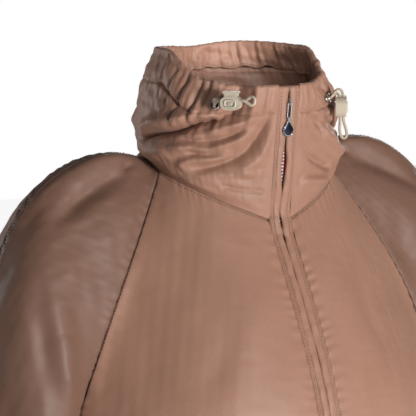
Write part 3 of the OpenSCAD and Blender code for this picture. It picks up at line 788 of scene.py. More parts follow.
def bump_at(x, centre, width):
    return np.exp(-((x - centre) / width) ** 2)


def gathers(q, seed, pitch):
    """Uneven pleats drawn up by the cord, from about -1 to 1; pitch is in degrees."""
    rng = np.random.default_rng(SEED + seed)
    total = np.zeros_like(q)
    for scale, share in ((1.0, 0.6), (0.61, 0.4), (1.7, 0.35)):
        wander = np.sin(np.radians(q) * rng.integers(3, 7) + rng.uniform(0, 6))
        total += share * np.sin(2 * np.pi * q / (pitch * scale) + 1.6 * wander + rng.uniform(0, 6))
    return total


MAIN_CREASE = [(-35, 0.75), (-44, 0.69), (-56, 0.61), (-74, 0.41), (-102, 0.17)]
COLLAR_FOLDS = [            # points, height mm, width mm
    (MAIN_CREASE, -11.0, 3.0),
    ([(a - 3, b + 0.085) for a, b in MAIN_CREASE], 8.5, 6.5),
    ([(a + 4, b - 0.12) for a, b in MAIN_CREASE], 5.0, 8.0),
    ([(-50, 0.56), (-42, 0.61), (-33, 0.67), (-20, 0.74)], 3.4, 3.0),
    ([(-64, 0.44), (-46, 0.50), (-33, 0.58), (-24, 0.68)], -4.2, 3.2),
    ([(-70, 0.32), (-56, 0.40), (-44, 0.43), (-29, 0.55), (-20, 0.66)], 4.4, 3.4),
    ([(-58, 0.33), (-44, 0.37), (-33, 0.42), (-26, 0.50)], -2.6, 2.6),
    ([(-64, 0.18), (-52, 0.30), (-40, 0.36), (-29, 0.47)], 4.0, 4.2),
    ([(-11, 0.84), (-14, 0.72), (-19, 0.56), (-27, 0.42), (-42, 0.28), (-58, 0.16)], -6.0, 4.4),
    ([(-8, 0.70), (-12, 0.54), (-19, 0.38), (-30, 0.26)], 3.4, 5.0),
    ([(-9, 0.34), (-22, 0.29), (-36, 0.24)], 1.8, 2.6),
    ([(-9, 0.20), (-24, 0.16), (-38, 0.13)], -2.0, 2.6),
    ([(34, 0.70), (46, 0.60), (62, 0.42), (84, 0.22)], -7.0, 3.4),
    ([(24, 0.66), (36, 0.50), (52, 0.30), (70, 0.14)], 6.0, 6.0),
    ([(16, 0.44), (28, 0.32), (44, 0.16)], -5.0, 3.4),
    ([(12, 0.26), (26, 0.17), (40, 0.09)], 3.4, 4.0),
    ([(20, 0.80), (27, 0.66), (31, 0.50)], -3.6, 3.0),
    ([(60, 0.62), (72, 0.5), (84, 0.40)], 2.0, 9.0),
    ([(150, 0.5), (170, 0.36), (179, 0.3)], -4.5, 5.0),
    ([(-179, 0.3), (-160, 0.42), (-140, 0.6)], -4.5, 5.0),
    ([(120, 0.3), (140, 0.22), (165, 0.16)], 4.0, 7.0),
    ([(-150, 0.18), (-130, 0.26), (-112, 0.36)], 3.6, 7.0),
]


def collar_push(q, t):
    """How far the collar's cloth stands out (mm) at angle q and share t of its height, from its folds."""
    t = t + np.zeros_like(q)
    below = (1 - t) * collar_height(q)
    side = np.abs(q)
    draw = 0.55 + 2.6 * bump_at(side, 60, 14) + 0.5 * smooth((46 - side) / 18)
    band = bump_at(below, 12, 15) + 0.6 * bump_at(below, 36, 12)
    v = 1.0 * draw * band * gathers(q, 11, 7.4)
    v += 1.4 * bump_at(below, 14, 9) - mix(2.4, 1.0, smooth((side - 90) / 20)) * bump_at(below, TUNNEL, 1.6)
    # the cord draws the rim in beside each eyelet, and the cloth stands out behind it
    v += -10.0 * bump_at(q, -36, 7) * smooth((40 - below) / 16)
    v -= 6.0 * bump_at(q, 41, 8) * smooth((36 - below) / 18)
    v += 3.0 * bump_at(q, -24, 5) * smooth((40 - below) / 18)
    v += (5.0 * bump_at(q, -66, 10) + 3.5 * bump_at(q, 66, 10)) * bump_at(below, 16, 16)
    for points, height, width in COLLAR_FOLDS:
        v += crease(q, t, points, height, width)
    # the lower edge balloons over the neck seam
    v += 6.0 * smooth((side - 12) / 40) * bump_at(t, 0.15, 0.15)
    around = unrolled(q, t)
    v += 1.6 * waves(around, 60, (1, 1, 0.8), 61) + 0.7 * waves(around, 20, (1, 1, 0.8), 62)
    v += 0.25 * waves(around, 8, (1, 1, 1), 63)
    eyelet = np.hypot((side - EYELET_ANGLE) * 1.54, below - (RIM_FRONT_Z - EYELET_Z))
    return v * smooth(t / 0.07) * smooth((side - 7.5) / 5) * smooth((eyelet - 3) / 9)


def rim_shift(q):
    """The rim is not level: it wavers round the back and with the gathers."""
    r = np.radians(q)
    wavers = 1.4 * np.sin(3 * r + 0.6) * smooth((np.abs(q) - 60) / 40)
    pleats = 0.7 * gathers(q, 12, 6.5) * (0.4 + bump_at(np.abs(q), 57, 16))
    low_front = RIM_DIP * smooth((56 - np.abs(q)) / 14)
    return (wavers + pleats - 2.2 * bump_at(np.abs(q), 178, 14)) * smooth((np.abs(q) - 8) / 6) - low_front


def outwards(q):
    r = np.radians(q)
    return np.stack([np.sin(r), -np.cos(r), np.zeros_like(r)], axis=-1)


def collar_skin(q, t):
    """The finished outer face of the collar."""
    p = collar(q, t) + outwards(q) * collar_push(q, t)[:, None]
    p[:, 2] += rim_shift(q) * t ** 3
    return p


def make_collar_grid():
    """Outer face from the neck seam to the rim, over the turned rim, and down the inside of the tunnel."""
    rows = [collar_skin(collar_angles(t), t) for t in np.linspace(0, 1, 96)]
    q = collar_angles(1.0)
    rim = rows[-1]
    for w in np.radians(np.linspace(22, 180, 8)):
        rows.append(rim - outwards(q) * ROLL * (1 - math.cos(w)) + vec(0, 0, ROLL * math.sin(w)))
    deep = bump_at(np.abs(q), 180, 60)
    slack = gathers(q, 13, 12.5) * (0.4 + 1.0 * bump_at(np.abs(q), 170, 40))
    depth = TUNNEL - 5 * smooth((np.abs(q) - 90) / 40) + 1.6 * gathers(q, 14, 21)
    for s in np.linspace(0.05, 1, 22):
        t = 1 - s * depth / collar_height(q)
        sag = 2 * ROLL + (1.0 + 3.5 * deep) * s + 1.1 * slack * math.sin(math.pi * min(1, s * 1.1))
        rows.append(collar_skin(q, t) - outwards(q) * sag[:, None])
    last = rows[-1]
    rows.append(last + outwards(q) * 1.6 + vec(0, 0, -0.6))
    rows.append(last + outwards(q) * 3.6 + vec(0, 0, 0.6))
    return np.array(rows)


def make_lining_grid():
    """The collar's inner layer, from inside the tunnel down to the neck seam."""
    rows = []
    for s in np.linspace(1.0, 0.0, 56):
        q = collar_angles(s)
        t = s * (1 - (TUNNEL - 4) / collar_height(q))
        inset = mix(mix(2.0, 7.6, smooth(t / 0.12)), 4.9, smooth((s - 0.82) / 0.18))
        around = unrolled(q, t)
        outer = collar_push(q, t)
        push = np.minimum(0.55 * outer, 3.0)
        push = push + 1.6 * waves(around, 55, (1, 1, 0.6), 71) + 0.5 * waves(around, 18, (1, 1, 1), 72)
        follow = smooth((s - 0.8) / 0.2)
        push = outer * follow + push * (1 - follow)
        rows.append(collar(q, t, inset) + outwards(q) * (push * smooth(t / 0.08))[:, None])
    return np.array(rows)


# ------------------------------------------------------------------ seams and stitching
def grid_at(p, mm, axis):
    """Points and normals of a grid at a distance in mm from an edge, along each row (1) or column (0).

    A negative distance is taken from the far edge."""
    run = lengths(p)[0 if axis == 1 else 1]
    n = normals(p)
    if axis == 0:
        p, n, run = p.transpose(1, 0, 2), n.transpose(1, 0, 2), run.T
    points = np.empty((len(p), 3))
    ups = np.empty((len(p), 3))
    for i, distance in enumerate(run):
        at = mm if mm >= 0 else distance[-1] + mm
        for k in range(3):
            points[i, k] = np.interp(at, distance, p[i, :, k])
            ups[i, k] = np.interp(at, distance, n[i, :, k])
    return points, ups


STITCH = 2.6
STITCH_GAP = 0.9
THREAD_R = 0.4
STATIONS = np.array([0.0, 0.14, 0.5, 0.86, 1.0])
THICK = np.array([0.3, 0.9, 1.0, 0.9, 0.3])
LIFT = np.array([-0.25, 0.1, 0.28, 0.1, -0.25])
SIDES = 6


def stitching(name, runs, material=None):
    """Every stitch of a seam as a short length of thread that dips into the cloth at both ends."""
    verts = []
    for points, ups in runs:
        run = np.concatenate([[0], np.linalg.norm(np.diff(points, axis=0), axis=1).cumsum()])
        starts = np.arange(0.8, run[-1] - STITCH, STITCH + STITCH_GAP)
        at = starts[:, None] + STITCH * STATIONS
        centre = np.stack([np.interp(at, run, points[:, k]) for k in range(3)], axis=-1)
        up = np.stack([np.interp(at, run, ups[:, k]) for k in range(3)], axis=-1)
        up /= np.linalg.norm(up, axis=-1, keepdims=True)
        ahead = centre[:, -1:] - centre[:, :1]
        side = np.cross(ahead, up)
        side /= np.maximum(np.linalg.norm(side, axis=-1, keepdims=True), 1e-9)
        turn = np.linspace(0, 2 * np.pi, SIDES, endpoint=False)
        ring = (np.cos(turn)[:, None] * side[:, :, None] + np.sin(turn)[:, None] * up[:, :, None])
        centre = centre + up * (LIFT + 0.12)[:, None]
        verts.append((centre[:, :, None] + ring * (THICK * THREAD_R)[:, None, None]).reshape(-1, 3))
    verts = np.concatenate(verts)
    count = len(STATIONS) * SIDES
    one = grid_faces(len(STATIONS), SIDES, around=True)
    one += [list(range(SIDES))[::-1], list(range(count - SIDES, count))]
    faces = [[v + k * count for v in face] for k in range(len(verts) // count) for face in one]
    cloth = np.stack([verts[:, 2], verts[:, 0]], axis=-1)
    made = new_object(name, verts, faces, material or MATERIAL["thread"], cloth)
    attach(made, "jacket")
    return made


def declare_sheet(base):
    """Measures the lengths along the rows and columns of base, and keeps nothing of them: base is the
    unfolded piece for the panels and collar, and the finished one for the bands and facings."""
    across, down = lengths(base)


def make_panels():
    make_panel_grids()
    for name, p in PANELS.items():
        flip = "left" in name
        # painted shade: the sleeves take the darker copy of the shell cloth
        cut = "shell_sleeve_painted_shade" if "sleeve" in name else "shell"
        made = cloth_object("cloth_" + name, p, MATERIAL[cut], flip=flip)
        stands_in(made, name)
        grid = p[:, ::-1] if flip else p
        far = 1 if flip else -1
        if "sleeve_front" in name:
            places = (1.6 * far, 7.0 * far)
        elif "sleeve_back" in name:
            places = ()
        elif name == "back_panel":
            places = (1.6, -1.6)
        else:
            places = (1.6 * far,)
        runs = [grid_at(grid, mm, 1) for mm in places] + [grid_at(grid, 3.0, 0)]
        threads = stitching(f"stitches_{name}", runs)
        declare_sheet(BASE[name])


# ------------------------------------------------------------------ hem and cuffs
TURN = 1.6                  # radius of a band's turned lower edge


def band(name, node, material, route, outs, z_top, z_low, puff, gather, closed, inner=4.0):
    """A turned band: an outer layer, a fold at its lower edge and an inner layer.

    gather varies its fullness along the route."""
    def row(out, z):
        return np.column_stack([route + outs * out[:, None], np.full(len(route), z)])
    heights = np.linspace(0, 1, 15)
    fold_z = z_low + TURN
    rows = []
    for s in heights:
        arch = math.sin(math.pi * s)
        swell = puff * arch + 0.5 - 0.9 * (bump_at(s, 0.12, 0.05) + bump_at(s, 0.86, 0.05))
        rows.append(row(swell + gather * (0.35 + 0.65 * arch), mix(z_top, fold_z, s)))
    for w in np.radians([45, 90, 135, 180]):
        back = inner / 2 * (1 - math.cos(w))
        rows.append(row(0.5 - back + 0.35 * gather, fold_z - TURN * math.sin(w)))
    for s in heights[::-1][1:]:
        rows.append(row(0.5 - inner + 0.4 * gather, mix(z_top, fold_z, s)))
    grid = np.array(rows)
    made = cloth_object(name, grid, material, around=closed)
    stands_in(made, node)
    return made, grid


def band_stitches(name, grid, rows, closed):
    n = normals(grid)
    runs = []
    for r in rows:
        points, ups = grid[r], n[r]
        if closed:
            points = np.vstack([points, points[:1]])
            ups = np.vstack([ups, ups[:1]])
        runs.append((points, ups))
    return stitching(name, runs)


def elastic_strip(name, node, route, outs, z_top, z_low, closed, inset):
    rows = [np.column_stack([route - outs * (inset + 0.25 * math.sin(14 * s)),
                             np.full(len(route), mix(z_top, z_low, s))]) for s in np.linspace(0, 1, 12)]
    made = cloth_object(name, np.array(rows), MATERIAL["elastic"], 1.2, around=closed)
    stands_in(made, node)


def make_cuffs():
    turn = np.linspace(0, 2 * np.pi, 220, endpoint=False)
    for side, sign, seed in (("right", 1, 124), ("left", -1, 324)):
        flat = CUFF_CENTRE[:2] + np.column_stack([CUFF_R * np.cos(turn), CUFF_RY * np.sin(turn)])
        outs = np.column_stack([np.cos(turn), np.sin(turn)])
        p = np.column_stack([flat, np.full(len(turn), CUFF_TOP)])
        gather = 1.5 * np.sin(turn * 21 + 1.8 * waves(p, 60, (1, 1, 4), seed))
        route = flat * [sign, 1]
        outs = outs * [sign, 1]
        if sign > 0:
            route, outs, gather = route[::-1], outs[::-1], gather[::-1]
        # painted shade: the cuffs take the sleeves' darker copy of the shell cloth
        made, grid = band(f"cloth_{side}_cuff", f"{side}_cuff", MATERIAL["shell_sleeve_painted_shade"], route, outs,
                          CUFF_TOP + 1, CUFF_BOTTOM, 1.0, gather, True)
        threads = band_stitches(f"stitches_{side}_cuff", grid, (2, 12), True)
        closed = np.concatenate([grid, grid[:, :1]], axis=1)
        declare_sheet(closed)
        elastic_strip(f"{side}_cuff_elastic_knit", f"{side}_cuff_elastic", route, outs, CUFF_TOP - 8,
                      CUFF_BOTTOM + 5, True, 1.4)


def make_hem():
    edges = [PANELS[name][-1] for name in ("front_right_panel", "back_panel", "front_left_panel")]
    p = np.concatenate([edges[0], edges[1][1:], edges[2][::-1][1:]])
    run = np.concatenate([[0], np.linalg.norm(np.diff(p, axis=0), axis=1).cumsum()])
    even = np.linspace(0, run[-1], 620)
    route = np.column_stack([np.interp(even, run, p[:, 0]), np.interp(even, run, p[:, 1])])
    ahead = np.gradient(route, axis=0)
    outs = np.column_stack([ahead[:, 1], -ahead[:, 0]])
    outs /= np.linalg.norm(outs, axis=1, keepdims=True)
    outs *= np.sign((outs * (route - [0, -10])).sum(axis=1, keepdims=True))
    gather = 0.9 * np.sin(even / 3.4 + 2 * np.sin(even / 60))
    made, grid = band("cloth_hem_band", "hem_band", MATERIAL["shell"], route, outs, HEM_TOP + 1, HEM_DROP,
                      1.2, gather, False, 4.4)
    threads = band_stitches("stitches_hem_band", grid, (2, 12), False)
    declare_sheet(grid)
    elastic_strip("hem_elastic_knit", "hem_elastic", route[8:-8], outs[8:-8], HEM_TOP - 5, HEM_DROP + 5,
                  False, 1.6)


# ------------------------------------------------------------------ collar pieces
def cut_eyelets(made):
    """Opens the outer layer under each eyelet."""
    polygons = made.data.polygons
    centres = np.empty(len(polygons) * 3)
    polygons.foreach_get("center", centres)
    centres = centres.reshape(-1, 3) / MM
    gone = set()
    for side in (-1, 1):
        at = eyelet_place(side, (0, 0, 0))
        out = eyelet_place(side, (0, -1, 0)) - at
        offset = centres - at
        height = offset @ out
        radius = np.linalg.norm(offset - height[:, None] * out, axis=1)
        gone |= set(np.nonzero((radius < 3.9) & (height > -2.5) & (height < 6))[0].tolist())
    edit = bmesh.new()
    edit.from_mesh(made.data)
    edit.faces.ensure_lookup_table()
    bmesh.ops.delete(edit, geom=[edit.faces[i] for i in gone], context="FACES")
    edit.to_mesh(made.data)
    edit.free()


def make_collar():
    p = make_collar_grid()
    made = cloth_object("cloth_collar_outer", p, MATERIAL["shell"], 0.45, flip=True)
    cut_eyelets(made)
    stands_in(made, "collar_outer")
    q = collar_angles(1.0)
    tunnel_edge = collar_skin(q, 1 - TUNNEL / collar_height(q))
    threads = stitching("stitches_tunnel", [(tunnel_edge, outwards(q))])
    inner_threads = stitching("stitches_tunnel_inner", [(p[-5], -outwards(q))])
    base = np.array([collar(collar_angles(t), t) for t in np.linspace(0, 1, 40)])
    declare_sheet(base)
    lining = make_lining_grid()
    inside = cloth_object("cloth_collar_lining", lining, MATERIAL["lining"], 0.4)
    stands_in(inside, "collar_lining")
    base = np.array([collar(collar_angles(t), t, 7) for t in np.linspace(0, 0.86, 40)])
    declare_sheet(base)


# ------------------------------------------------------------------ frames shared with the CAD model
CORD_INSET = 4.0
EYELET_H = 1 - (RIM_FRONT_Z - EYELET_Z) / collar_height(np.array([-50.0]))[0]
EYELET_R = float(np.linalg.norm(collar(np.array([-50.0]), EYELET_H, CORD_INSET)[0, :2]) + CORD_INSET)
EYELET_TILT = math.radians(-14)


def turned(points, axis, angle):
    """Points turned about a world axis."""
    p = np.asarray(points, float)
    c, s = math.cos(angle), math.sin(angle)
    i, j = {"x": (1, 2), "y": (2, 0), "z": (0, 1)}[axis]
    out = p.copy()
    out[..., i] = c * p[..., i] - s * p[..., j]
    out[..., j] = s * p[..., i] + c * p[..., j]
    return out


def from_eyelet(side, points):
    """From an eyelet's level frame (x round the collar, -y outwards) to the jacket's frame, in mm."""
    p = np.asarray(points, float) + vec(0, -EYELET_R, EYELET_Z)
    return turned(p, "z", math.radians(side * EYELET_ANGLE))


def eyelet_place(side, points):
    """The same frame tilted to the collar's slope."""
    return from_eyelet(side, turned(points, "x", EYELET_TILT))


ZIP_TOP = (-RIM_B, RIM_FRONT_Z + 2.0)
ZIP_BEND = (-NECK_FRONT, -float(NECK_DROP))
ZIP_LEAN = math.atan2(ZIP_BEND[0] - ZIP_TOP[0], ZIP_TOP[1] - ZIP_BEND[1])


def on_zip(down, points):
    """From the frame on the collar's straight stretch of zip to the jacket's frame."""
    p = turned(np.asarray(points, float) + vec(0, 0, -down), "x", ZIP_LEAN)
    return p + vec(0, *ZIP_TOP)


def zip_route(step=1.5):
    """The zip's line as (y, z) points at even steps, with the outward normal at each."""
    straight = [mix(np.array(ZIP_TOP), np.array(ZIP_BEND), 0.93 * i / 30) for i in range(31)]
    chest = [zip_line(np.array([[0.05 + 1.95 * i / 120]]))[0, 1:] for i in range(121)]
    p = np.array(straight + chest + [(-CHEST_FRONT + 14.0, HEM_DROP + 6.0)])
    run = np.concatenate([[0], np.linalg.norm(np.diff(p, axis=0), axis=1).cumsum()])
    even = np.arange(0, run[-1], step)
    line = np.column_stack([np.interp(even, run, p[:, k]) for k in (0, 1)])
    for _ in range(3):
        line[1:-1] = (line[:-2] + 2 * line[1:-1] + line[2:]) / 4
    ahead = np.gradient(line, axis=0)
    out = np.column_stack([ahead[:, 1], -ahead[:, 0]])
    return even, line, out / np.linalg.norm(out, axis=1, keepdims=True)


def slit_half(down):
    """Half the gap between the two facings at a distance down the zip."""
    gap = 0.3 + 0.75 * smooth((down - 8) / 6) * smooth((112 - down) / 8)
    gap += 2.5 * bump_at(down, 84, 14) + 1.5 * bump_at(down, 141, 6) + 1.2 * bump_at(down, 157, 4)
    return gap


# across the facing from the seam (1) to the slit (0): share of width, height above the zip's line
FACING_SECTION = [
    (1.09, -1.3), (1.04, -0.9), (1.0, -0.45), (0.95, 0.3), (0.91, 0.42), (0.885, 0.2), (0.86, -0.05),
    (0.835, 0.2), (0.80, 0.5), (0.76, 0.55), (0.73, 0.45), (0.705, 0.2), (0.68, -0.05), (0.655, 0.2),
    (0.62, 0.6), (0.55, 0.95), (0.46, 1.2), (0.36, 1.3), (0.26, 1.25), (0.17, 1.1), (0.10, 0.85),
    (0.05, 0.5), (0.015, 0.1), (0.0, -0.35), (0.02, -0.8), (0.07, -1.1), (0.18, -1.2), (0.34, -1.2)]


def make_facings():
    down, line, out = zip_route()
    below_rim = down >= RIM_DIP
    down, line, out = down[below_rim], line[below_rim], out[below_rim]
    gap = slit_half(down)
    for side, sign, seed in (("right", -1, 0), ("left", 1, 40)):
        place = np.column_stack([down * 0, down, down * 0])
        swell = 1 + 0.35 * waves(place, 22, (1, 1, 1), 600 + seed)
        swell += 0.25 * waves(place, 8, (1, 1, 1), 610 + seed)
        wander = 0.35 * waves(place, 34, (1, 1, 1), 620 + seed)
        top = 2.6 * (1 - smooth((down - RIM_DIP) / 3.5))
        sunk = 1.6 * bump_at(down, 127, 13)     # room for the puller when the slider is right down
        columns = []
        for share, height in FACING_SECTION:
            x = gap + wander * (1 - share) + (FRONT_X - gap) * share
            h = height * (swell if height > 0 else 1) - top - sunk
            columns.append(np.column_stack([sign * x, line + out * h[:, None]]))
        grid = np.array(columns).transpose(1, 0, 2)
        made = cloth_object(f"cloth_zip_facing_{side}", grid, MATERIAL["shell"], 0.35, flip=(sign > 0))
        stands_in(made, f"zip_facing_{side}")
        n = np.column_stack([down * 0, out])
        runs = [(grid[3:-2, k], n[3:-2]) for k in (6, 12)]
        threads = stitching(f"stitches_zip_facing_{side}", runs)
        declare_sheet(grid)
        make_tape(side, sign, down, line, out)
        make_teeth(side, sign, down, line, out)


TAPE_START = 9.5            # where the tape's upper end sits, below the rim
# across the tape: distance from the middle, depth below the zip's line
TAPE_SECTION = [(0.35, 3.45), (0.4, 3.1), (1.2, 3.05), (1.9, 3.1), (3.4, 3.3), (6.0, 3.9), (9.0, 4.2),
                (12.8, 4.5)]


def make_tape(side, sign, down, line, out):
    shown = (line[:, 1] > HEM_TOP) & (down > TAPE_START)
    down, line, out = down[shown], line[shown], out[shown]
    grid = np.array([np.column_stack([down * 0 + sign * x, line - out * depth]) for x, depth in TAPE_SECTION])
    grid = grid.transpose(1, 0, 2)
    made = cloth_object(f"zip_tape_{side}_woven", grid, MATERIAL["tape"], 0.6, flip=(sign > 0))
    stands_in(made, f"zip_tape_{side}")


TOOTH_PITCH = 2.6
# a tooth's outline: across the zip, along it
TOOTH = [(3.3, 0.75), (1.5, 0.75), (0.9, 0.5), (0.35, 0.62), (0.15, 0.3), (0.15, -0.3), (0.35, -0.62),
         (0.9, -0.5), (1.5, -0.75), (3.3, -0.75)]
TOOTH_DEPTHS = [(3.75, 0.82), (4.0, 1.0), (5.35, 1.0), (5.65, 0.82)]


def make_teeth(side, sign, down, line, out):
    """Separate teeth gripping the tape's edge, set half a pitch apart on the two sides."""
    start = 15.0 + (0 if sign < 0 else TOOTH_PITCH / 2)
    stop = down[line[:, 1] > HEM_TOP - 10][-1]
    at = np.arange(start, stop, TOOTH_PITCH)
    y = np.interp(at, down, line[:, 0])
    z = np.interp(at, down, line[:, 1])
    normal = np.column_stack([np.interp(at, down, out[:, k]) for k in (0, 1)])
    along = np.column_stack([-normal[:, 1], normal[:, 0]])
    count = len(TOOTH)
    verts = []
    faces = []
    one = grid_faces(len(TOOTH_DEPTHS), count, around=True)
    one += [list(range(count))[::-1], list(range(3 * count, 4 * count))]
    for i in range(len(at)):
        for depth, size in TOOTH_DEPTHS:
            for x, s in TOOTH:
                middle = 1.8 + (x - 1.8) * size
                move = -normal[i] * depth + along[i] * s * size
                verts.append((sign * middle, y[i] + move[0], z[i] + move[1]))
        base = i * count * len(TOOTH_DEPTHS)
        faces += [[v + base for v in (face if sign < 0 else face[::-1])] for face in one]
    made = new_object(f"zip_teeth_{side}", verts, faces, MATERIAL["tooth"], smooth_shading=False)
    stands_in(made, f"zip_coil_{side}")


STOP_DOWN = 10.5            # the stops sit between the rim and the raised slider


def box_verts(x, y, z, at):
    return [(at[0] + i * x / 2, at[1] + j * y / 2, at[2] + k * z / 2)
            for i in (-1, 1) for j in (-1, 1) for k in (-1, 1)]


BOX_FACES = [(0, 1, 3, 2), (4, 6, 7, 5), (0, 4, 5, 1), (2, 3, 7, 6), (0, 2, 6, 4), (1, 5, 7, 3)]


def rounded(made, width, segments=3):
    """Rounds a piece's sharp edges with a modifier."""
    edge = made.modifiers.new("bevel", "BEVEL")
    edge.width = width * MM
    edge.segments = segments
    edge.limit_method = "ANGLE"
    edge.angle_limit = math.radians(35)
    return made


def make_stops():
    verts = box_verts(2.2, 2.8, 4, (-1.7, 4.1, 0)) + box_verts(2.2, 2.8, 4, (1.7, 4.1, 0))
    faces = BOX_FACES + [tuple(v + 8 for v in face) for face in BOX_FACES]
    made = new_object("zip_top_stops_crimped", on_zip(STOP_DOWN, np.array(verts)), faces, MATERIAL["tooth"])
    rounded(made, 0.4)
    stands_in(made, "zip_top_stops")


# ------------------------------------------------------------------ cords
CORD_D = 3.0
RIGHT_ROUTE = [
    (0, 0, -1.6), (0.3, -3.6, -0.7), (1.8, -8, 1.2), (4, -10.6, 3.6), (7, -11.4, 5.6), (10, -11.4, 6),
    (16, -11.4, 6), (22, -11.4, 6), (28, -11.4, 6), (33, -11.4, 6.2), (36.5, -11.6, 8.2), (39.6, -12, 9.8),
    (42.4, -13, 8.4), (43, -13.2, 6), (42.4, -13.4, 3.6), (39.6, -14, 2.2), (36.5, -14.4, 3.8),
    (33, -14.6, 5.8), (28, -14.6, 6), (22, -14.6, 6), (16, -14.6, 6), (10, -14.6, 6),
    (7, -14.2, 6.4), (3.6, -12.4, 6.6),
    (1.4, -8.4, 5.2), (0.3, -3.6, 2.5), (0, 0, 1.6)]
LEFT_ROUTE = [
    (-1.6, 0, 0), (-1.6, -3, 0.8), (-1.6, -5.4, 4), (-1.2, -8.4, 7.8), (-0.6, -11.6, 8.4), (-0.2, -14, 6),
    (0.2, -15.1, 1.6), (1.3, -15.1, -2.2), (3, -15.1, -8), (4.7, -15.1, -13.8), (6.4, -15.1, -19.6),
    (7.8, -15.6, -24.6), (9.4, -17.2, -30), (11, -18.4, -35.4), (12.2, -17.8, -39.4), (12.8, -15.6, -41.2),
    (12.6, -13.2, -40), (11.6, -11.8, -36.4), (10.2, -11.4, -31), (8.6, -11.7, -25.4), (6.4, -11.9, -19.6),
    (4.7, -11.9, -13.8), (3, -11.9, -8), (1.3, -11.9, -2.2), (0.2, -11.5, 1.6), (0.8, -9.6, 4.2),
    (1.4, -6.6, 4), (1.6, -3.6, 1.4), (1.6, 0, 0)]


def tube(name, centre, diameter, material, sides=20):
    """A round tube along points in mm, with its own lengths round and along it."""
    ahead = np.gradient(centre, axis=0)
    ahead /= np.linalg.norm(ahead, axis=1, keepdims=True)
    side = np.cross(ahead[0], vec(0.1, 0.2, 1))
    turn = np.linspace(0, 2 * np.pi, sides, endpoint=False)
    rings = []
    for a in ahead:
        side = side - a * (side @ a)
        side /= np.linalg.norm(side)
        rings.append(np.cos(turn)[:, None] * side + np.sin(turn)[:, None] * np.cross(a, side))
    grid = centre[:, None] + np.array(rings) * diameter / 2
    run = np.concatenate([[0], np.linalg.norm(np.diff(centre, axis=0), axis=1).cumsum()])
    cloth = np.stack(np.broadcast_arrays(turn[None] * diameter / 2, run[:, None]), axis=-1).reshape(-1, 2)
    faces = grid_faces(len(centre), sides, around=True)
    last = (len(centre) - 1) * sides
    faces += [list(range(sides))[::-1], list(range(last, last + sides))]
    return new_object(name, grid.reshape(-1, 3), faces, material, cloth), run[-1]


def make_cords():
    for side, sign, route in (("right", -1, RIGHT_ROUTE), ("left", 1, LEFT_ROUTE)):
        centre = curve_through(from_eyelet(sign, route), 8)
        made, length = tube(f"cord_loop_{side}_braid", centre, CORD_D, MATERIAL["cord"])
        stands_in(made, f"cord_loop_{side}")
        print(f"cord {made.name}: {length:.1f} mm")
    q = np.linspace(-EYELET_ANGLE, -360 + EYELET_ANGLE, 260)
    q = np.where(q < -180, q + 360, q)
    h = 1 - (RIM_FRONT_Z - EYELET_Z) / collar_height(q)
    inside = collar(q, h, CORD_INSET) + outwards(q) * collar_push(q, h)[:, None]
    made, length = tube("collar_drawcord_braid", inside, CORD_D, MATERIAL["cord"], 12)
    stands_in(made, "collar_drawcord")
    print(f"drawcord in the tunnel: {length:.0f} mm")


# ------------------------------------------------------------------ hardware
def lathe(name, profile, place, material, steps=64):
    """Turns (radius, height) pairs into a ring; place maps the eyelet's frame to the jacket's."""
    turn = np.linspace(0, 2 * np.pi, steps, endpoint=False)
    verts = [(r * math.cos(w), y, r * math.sin(w)) for r, y in profile for w in turn]
    return new_object(name, place(np.array(verts)), grid_faces(len(profile), steps, around=True), material)


EYELET_PROFILE = [(3.55, 1.8), (3.5, 1.2), (3.5, -0.4), (3.55, -1.3), (3.8, -1.85), (4.2, -2.1), (4.6, -1.95),
                  (4.9, -1.6), (5.0, -1.3), (4.9, -1.15), (4.15, -1.1), (4.1, 0.2), (4.1, 1.8), (3.55, 1.8)]
WASHER_PROFILE = [(3.6, 2.0), (3.6, 2.35), (4.2, 2.6), (4.8, 2.45), (5.0, 2.1), (4.9, 1.9), (3.6, 2.0)]


def make_eyelets():
    for side, sign in (("right", -1), ("left", 1)):
        def place(p, sign=sign):
            return eyelet_place(sign, p)
        ring = lathe(f"eyelet_{side}_rolled", EYELET_PROFILE, place, MATERIAL["nickel"])
        washer = lathe(f"eyelet_washer_{side}_rolled", WASHER_PROFILE, place, MATERIAL["nickel"])
        for made, node in ((ring, f"eyelet_{side}"), (washer, f"eyelet_washer_{side}")):
            stands_in(made, node)


def finish_node(node, material):
    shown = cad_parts[node]
    shown.data.materials.clear()
    shown.data.materials.append(material)


DROP_W, DROP_L, DROP_T = 12.4, 19.6, 1.8


def drop_outline(steps=72):
    """The puller's outline, in (x, z) below the pin: a round end, straight flanks and a small neck."""
    r0, z0 = 1.6, -4.0
    r1, z1 = DROP_W / 2, -DROP_L + DROP_W / 2
    tilt = math.asin((r1 - r0) / (z0 - z1))
    points = []
    for w in np.linspace(tilt, math.pi - tilt, steps // 4):
        points.append((r0 * math.cos(w), z0 + r0 * math.sin(w)))
    for w in np.linspace(math.pi - tilt, 2 * math.pi + tilt, 3 * steps // 4):
        points.append((r1 * math.cos(w), z1 + r1 * math.sin(w)))
    return np.array(points)


def domed(name, outline, layers, material):
    """Stacks scaled outlines, layer by layer (scale, y), into a closed body on the puller's frame."""
    middle = np.array([0, -DROP_L + DROP_W / 2 + 0.8])
    verts = []
    for scale, y in layers:
        ring = middle + (outline - middle) * scale
        verts += [(x, y, z) for x, z in ring]
    count = len(outline)
    faces = grid_faces(len(layers), count, around=True)
    faces += [list(range(count))[::-1], list(range(len(verts) - count, len(verts)))]
    place = on_zip(PIVOT_DOWN + LINK_L, np.array(verts) + vec(0, -PIVOT_OUT, 0))
    made = new_object(name, place, faces, material)
    weld = bmesh.new()
    weld.from_mesh(made.data)
    bmesh.ops.recalc_face_normals(weld, faces=weld.faces)
    weld.to_mesh(made.data)
    weld.free()
    return made


PIVOT_DOWN, PIVOT_OUT, LINK_L = 22.0, 2.6, 14.0


